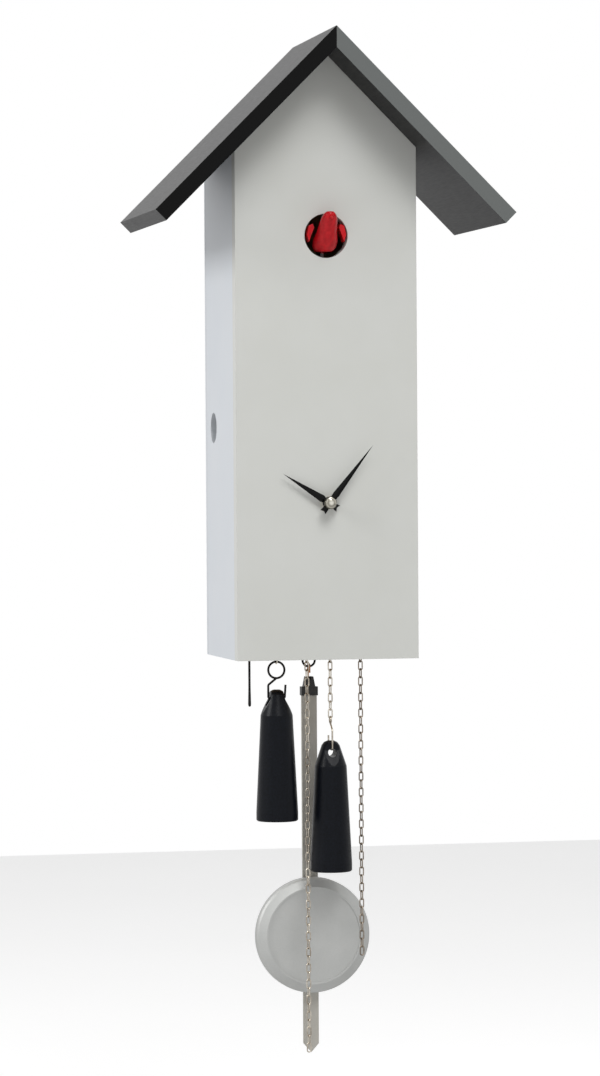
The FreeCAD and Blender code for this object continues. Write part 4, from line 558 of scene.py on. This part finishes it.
# Black gloss enamel: an even, deep black that mirrors the room.
black_enamel, enamel_tree, enamel_shader = finish("black_gloss_enamel")
enamel_place = add(enamel_tree, "ShaderNodeTexCoord", {}).outputs["Object"]
enamel_ripple = add(enamel_tree, "ShaderNodeTexNoise",
                    {"Vector": enamel_place, "Scale": 1 / (2.5 * MM), "Detail": 2.0})
enamel_tone = add(enamel_tree, "ShaderNodeValToRGB", {"Fac": enamel_ripple.outputs["Fac"]},
                  bands=[(0.3, linear("#030303")), (0.7, linear("#060607"))])
enamel_bump = add(enamel_tree, "ShaderNodeBump",
                  {"Height": enamel_ripple.outputs["Fac"], "Strength": 0.15, "Distance": 0.05 * MM})
enamel_tree.links.new(enamel_tone.outputs["Color"], enamel_shader.inputs["Base Color"])
enamel_tree.links.new(enamel_bump.outputs["Normal"], enamel_shader.inputs["Normal"])
enamel_shader.inputs["Roughness"].default_value = 0.14
enamel_shader.inputs["IOR"].default_value = 1.5
enamel_shader.inputs["Specular IOR Level"].default_value = 0.15


def ridged_hand(name, length, belly, half_width, tail, degrees):
    """A spear hand: its outline at the back, a thinner edge, and a raised line down the middle."""
    low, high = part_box(name)
    back = high.y
    edge = back - HAND_FLANK
    crest = back - HAND_THICKNESS
    neck = 1.9 * MM
    neck_z = 3.36 * MM
    fork = half_width
    right = [(half_width, belly), (neck, neck_z), (neck, -neck_z), (fork, -tail)]
    outline = [(0.0, length)] + right + [(0.0, FORK_DEPTH - tail)] + [(-px, pz) for px,
                                                                      pz in reversed(right)]
    shape = bmesh.new()
    rear = [shape.verts.new((x, back, z)) for x, z in outline]
    front = [shape.verts.new((x, edge, z)) for x, z in outline]
    ridge = (length - TIP_SLOPE, belly, neck_z, -neck_z, TAIL_SLOPE - tail)
    spine = [shape.verts.new((0.0, crest, z)) for z in ridge]
    count = len(outline)
    for k in range(count):
        shape.faces.new((rear[k], rear[(k + 1) % count], front[(k + 1) % count], front[k]))
    shape.faces.new(rear)
    tip, belly_top, upper, lower, fork_top = spine
    for flank in ([front[0], front[1], belly_top, tip], [front[1], front[2], upper, belly_top],
                  [front[2], front[3], lower, upper], [front[3], front[4], fork_top, lower],
                  [front[4], front[5], fork_top], [front[5], front[6], fork_top],
                  [front[6], front[7], lower, fork_top], [front[7], front[8], upper, lower],
                  [front[8], front[9], belly_top, upper], [front[9], front[0], tip, belly_top]):
        shape.faces.new(flank)
    ring_low = [shape.verts.new((BOSS_RADIUS * math.cos(a), back, BOSS_RADIUS * math.sin(a)))
                for a in (2 * math.pi * k / BOSS_STEPS for k in range(BOSS_STEPS))]
    ring_edge = [shape.verts.new((v.co.x, edge - 0.1 * MM, v.co.z)) for v in ring_low]
    ring_top = [shape.verts.new((v.co.x * 0.86, crest, v.co.z * 0.86)) for v in ring_low]
    for lower_ring, upper_ring in ((ring_low, ring_edge), (ring_edge, ring_top)):
        for k in range(BOSS_STEPS):
            n = (k + 1) % BOSS_STEPS
            shape.faces.new((lower_ring[k], lower_ring[n], upper_ring[n], upper_ring[k]))
    shape.faces.new(list(reversed(ring_low)))
    shape.faces.new(ring_top)
    bmesh.ops.recalc_face_normals(shape, faces=shape.faces)
    turn = Matrix.Translation((HANDS_AT.x, 0.0, HANDS_AT.z)) @ Matrix.Rotation(math.radians(degrees), 4,
                                                                               "Y")
    bmesh.ops.transform(shape, matrix=turn, verts=shape.verts)
    mesh = bpy.data.meshes.new("ridged_" + name)
    shape.to_mesh(mesh)
    shape.free()
    made = bpy.data.objects.new("ridged_" + name, mesh)
    bpy.context.scene.collection.objects.link(made)
    made.data.materials.append(black_enamel)
    rounding = made.modifiers.new("rounded_edges", "BEVEL")
    rounding.width = 0.08 * MM
    rounding.segments = 2
    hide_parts(name)
    return made


hour_hand = ridged_hand("hour_hand", 37.5 * MM, 5.6 * MM, 2.5 * MM, 7.5 * MM, -58.0)
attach(hour_hand, "hour")
minute_hand = ridged_hand("minute_hand", 49.4 * MM, 7.4 * MM, 2.3 * MM, 8.0 * MM, 37.9)
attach(minute_hand, "minute")

# Polished nickel plate on the domed nut. Its colour is painted bright in the middle and dark at the rim, with a
# lighter
# band between: a painted highlight and painted reflection of the dome. The turned rings are a bump.
nickel, nickel_tree, nickel_shader = finish("polished_nickel_with_painted_highlight")
nickel_place = add(nickel_tree, "ShaderNodeTexCoord", {}).outputs["Object"]
nickel_offset = add(nickel_tree, "ShaderNodeVectorMath",
                    {0: nickel_place, 1: (HANDS_AT.x, 0.0, HANDS_AT.z)}, operation="SUBTRACT")
nickel_flat = add(nickel_tree, "ShaderNodeVectorMath",
                  {0: nickel_offset.outputs["Vector"], 1: (1.0, 0.0, 1.0)}, operation="MULTIPLY")
nickel_radius = add(nickel_tree, "ShaderNodeVectorMath", {0: nickel_flat.outputs["Vector"]},
                    operation="LENGTH").outputs["Value"]
# Turned rings are about 0.1 mm apart; drawn 1.3 mm here, so that they show.
nickel_turns = add(nickel_tree, "ShaderNodeMath", {0: nickel_radius, 1: 2 * math.pi / (1.3 * MM)},
                   operation="MULTIPLY")
nickel_ring = add(nickel_tree, "ShaderNodeMath", {0: nickel_turns.outputs["Value"]}, operation="COSINE")
# Painted highlight and shade: the colour runs from bright in the middle to dark at the rim.
nickel_highlight_falloff = add(nickel_tree, "ShaderNodeMapRange",
                  {"Value": nickel_radius, "From Min": 0.8 * MM, "From Max": 4.0 * MM})
nickel_painted_reflection = add(nickel_tree, "ShaderNodeValToRGB", {"Fac": nickel_highlight_falloff.outputs["Result"]},
                    bands=[(0.0, linear("#D9D6CC")), (0.45, linear("#8B877C")), (0.8, linear("#B9B5AA")),
                           (1.0, linear("#5F5B53"))])
nickel_bump = add(nickel_tree, "ShaderNodeBump",
                  {"Height": nickel_ring.outputs["Value"], "Strength": 0.4, "Distance": 0.04 * MM})
nickel_tree.links.new(nickel_painted_reflection.outputs["Color"], nickel_shader.inputs["Base Color"])
nickel_tree.links.new(nickel_bump.outputs["Normal"], nickel_shader.inputs["Normal"])
nickel_shader.inputs["Metallic"].default_value = 1.0
nickel_shader.inputs["Roughness"].default_value = 0.18
coat(nickel, "hand_nut")


# ---------------------------------------------------------------- chains
# Two endless-looking runs of nickel plated steel chain, each link a bent and butted wire ring, which
# hang over the chain wheels of the movement.

# Worn nickel on steel wire: pale and bright, warmer where the plating has thinned.
chain_nickel = ground_steel("worn_nickel_plated_chain", "#D3CCBF", "#9B9184", 0.18, 0.34)
coat(chain_nickel, "left_weight_chain", "left_free_chain", "right_weight_chain", "chain_bends",
     "right_hook")
# The right chain's free end is given a browner, darker and duller copy of the chain finish.
coat(ground_steel("browner_darker_nickel_plated_chain", "#A2978A", "#776C60", 0.26, 0.42), "right_free_chain")

# Blackened steel wire: oil-blacked, satin, a little brown in the hollows.
black_wire = ground_steel("oil_blackened_steel_wire", "#2B2A2A", "#191818", 0.30, 0.46)
coat(black_wire, "left_hook", "night_off_lever", "pendulum_leader")


# ---------------------------------------------------------------- pendulum
# A flat wooden rod with a pointed end, painted silver, a turned disc bob slid on its front, a black
# moulded neck on its top and a coppered wire hook that hangs in the leader's bend.

def silver_paint(name, bright, dull, rough, flake):
    """Aluminium paint: metallic flakes about flake across in clear lacquer."""
    made, tree, shader = finish(name)
    place = add(tree, "ShaderNodeTexCoord", {}).outputs["Object"]
    flakes = add(tree, "ShaderNodeTexVoronoi", {"Vector": place, "Scale": 1 / flake})
    sparkle = add(tree, "ShaderNodeSeparateColor", {"Color": flakes.outputs["Color"]})
    drift = add(tree, "ShaderNodeTexNoise", {"Vector": place, "Scale": 1 / (25 * MM), "Detail": 3.0})
    blend = add(tree, "ShaderNodeMath", {0: sparkle.outputs["Red"], 1: 0.25, 2: drift.outputs["Fac"]},
                operation="MULTIPLY_ADD")
    tone = add(tree, "ShaderNodeValToRGB", {"Fac": blend.outputs["Value"]},
               bands=[(0.35, linear(dull)), (0.90, linear(bright))])
    peel = add(tree, "ShaderNodeTexNoise", {"Vector": place, "Scale": 1 / (1.2 * MM), "Detail": 2.0})
    bump = add(tree, "ShaderNodeBump", {"Height": peel.outputs["Fac"], "Strength": 0.25,
                                        "Distance": 0.02 * MM})
    tree.links.new(tone.outputs["Color"], shader.inputs["Base Color"])
    tree.links.new(bump.outputs["Normal"], shader.inputs["Normal"])
    shader.inputs["Metallic"].default_value = 0.35
    shader.inputs["Roughness"].default_value = rough
    return made


# Satin silver: grey and even, brightening softly towards the light.
coat(silver_paint("satin_silver_bob", "#BABBB9", "#AEAFAD", 0.50, 0.35 * MM), "pendulum_bob")
coat(silver_paint("satin_silver_rod", "#B2AFA8", "#A19E96", 0.50, 0.35 * MM), "pendulum_rod")
# Coppered wire: reddish brown, dulled.
coat(ground_steel("coppered_steel_wire", "#A8744F", "#7E5337", 0.25, 0.42), "pendulum_hook")

# Black moulded polystyrene: plain black with a faint spark-eroded texture.
moulded_black, moulded_tree, moulded_shader = finish("black_moulded_polystyrene")
moulded_place = add(moulded_tree, "ShaderNodeTexCoord", {}).outputs["Object"]
spark = add(moulded_tree, "ShaderNodeTexNoise",
            {"Vector": moulded_place, "Scale": 1 / (0.4 * MM), "Detail": 3.0})
moulded_tone = add(moulded_tree, "ShaderNodeValToRGB", {"Fac": spark.outputs["Fac"]},
                   bands=[(0.3, linear("#0E0E0F")), (0.7, linear("#161617"))])
moulded_bump = add(moulded_tree, "ShaderNodeBump",
                   {"Height": spark.outputs["Fac"], "Strength": 0.4, "Distance": 0.03 * MM})
moulded_tree.links.new(moulded_tone.outputs["Color"], moulded_shader.inputs["Base Color"])
moulded_tree.links.new(moulded_bump.outputs["Normal"], moulded_shader.inputs["Normal"])
moulded_shader.inputs["Roughness"].default_value = 0.48
coat(moulded_black, "pendulum_collar")


# ---------------------------------------------------------------- studio
# A pale floor well below the pendulum, an even white room, a large soft lamp above and in front, and
# a weaker one on the left. The clock hangs as if from its nail.

FLOOR_DROP = 0.16
FLOOR_SIZE = 6.0
FLOOR_LIFT = 0.42
WHITE = 1.0
ROOM_FILL = 0.30

floor_mesh = bpy.data.meshes.new("floor")
half_floor = FLOOR_SIZE / 2
floor_z = cad_box[0][2] - FLOOR_DROP
floor_mesh.from_pydata([(-half_floor, -half_floor, floor_z), (half_floor, -half_floor, floor_z),
                        (half_floor, half_floor, floor_z), (-half_floor, half_floor,
                                                            floor_z)], [], [(0, 1, 2, 3)])
floor = bpy.data.objects.new("floor", floor_mesh)
bpy.context.scene.collection.objects.link(floor)
# Matt pale floor paint, lifted a little where it is seen directly so that it runs into the white room.
floor_paint, floor_tree, floor_shader = finish("matt_pale_floor_paint")
floor_place = add(floor_tree, "ShaderNodeTexCoord", {}).outputs["Object"]
floor_cloud = add(floor_tree, "ShaderNodeTexNoise",
                  {"Vector": floor_place, "Scale": 1 / 0.3, "Detail": 2.0})
floor_tone = add(floor_tree, "ShaderNodeValToRGB", {"Fac": floor_cloud.outputs["Fac"]},
                 bands=[(0.3, linear("#F2F2F2")), (0.7, linear("#F4F4F4"))])
floor_tree.links.new(floor_tone.outputs["Color"], floor_shader.inputs["Base Color"])
floor_shader.inputs["Roughness"].default_value = 0.9
floor_shader.inputs["Emission Color"].default_value = (1.0, 1.0, 1.0, 1.0)
floor_seen = add(floor_tree, "ShaderNodeLightPath", {})
floor_lift = add(floor_tree, "ShaderNodeMath", {0: floor_seen.outputs["Is Camera Ray"], 1: FLOOR_LIFT},
                 operation="MULTIPLY")
floor_tree.links.new(floor_lift.outputs["Value"], floor_shader.inputs["Emission Strength"])
floor.data.materials.append(floor_paint)

room = bpy.data.worlds.new("white_room")
bpy.context.scene.world = room
room.use_nodes = True
room_tree = room.node_tree
room_light = room_tree.nodes["Background"]
room_light.inputs["Color"].default_value = (1.0, 1.0, 1.0, 1.0)
path = add(room_tree, "ShaderNodeLightPath", {})
seen = add(room_tree, "ShaderNodeMath", {0: path.outputs["Is Camera Ray"],
                                         1: path.outputs["Is Glossy Ray"]}, operation="MAXIMUM")
shown = add(room_tree, "ShaderNodeMath", {0: seen.outputs["Value"], 1: path.outputs["Is Transmission Ray"]},
            operation="MAXIMUM")
strength = add(room_tree, "ShaderNodeMapRange",
               {"Value": shown.outputs["Value"], "To Min": ROOM_FILL, "To Max": WHITE})
room_tree.links.new(strength.outputs["Result"], room_light.inputs["Strength"])


def soft_lamp(name, place, aim, size, power):
    """A square soft lamp at a place, turned towards a point."""
    lamp = bpy.data.lights.new(name, "AREA")
    lamp.shape = "SQUARE"
    lamp.size = size
    lamp.energy = power
    made = bpy.data.objects.new(name, lamp)
    made.location = place
    made.rotation_euler = (Vector(aim) - Vector(place)).to_track_quat("-Z", "Y").to_euler()
    bpy.context.scene.collection.objects.link(made)


soft_lamp("high_front_lamp", (0.2, -1.9, 1.9), (0.0, 0.0, -0.25), 1.3, 47.0)
soft_lamp("left_lamp", (-2.3, -0.5, 0.9), (0.0, 0.0, -0.25), 0.9, 30.0)

# The camera stands a little left of and below the clock's middle.
YAW = 0.2159
PITCH = -0.0170
ROLL = -0.0064
FOCAL = 129.9
camera_data = bpy.data.cameras.new("camera")
camera_data.lens = FOCAL
camera_data.sensor_width = 36.0
camera_data.clip_end = 50.0
camera = bpy.data.objects.new("camera", camera_data)
bpy.context.scene.collection.objects.link(camera)
ahead = Vector((math.sin(YAW) * math.cos(PITCH), math.cos(YAW) * math.cos(PITCH), math.sin(PITCH)))
level = Vector((math.cos(YAW), -math.sin(YAW), 0.0))
upward = level.cross(ahead)
rightward = level * math.cos(ROLL) + upward * math.sin(ROLL)
upward = upward * math.cos(ROLL) - level * math.sin(ROLL)
camera.matrix_world = Matrix.Translation((-0.5831, -2.6782, -0.2024)) @ Matrix(
    (rightward, upward, -ahead)).transposed().to_4x4()
bpy.context.scene.camera = camera
bpy.context.scene.view_settings.view_transform = "Standard"
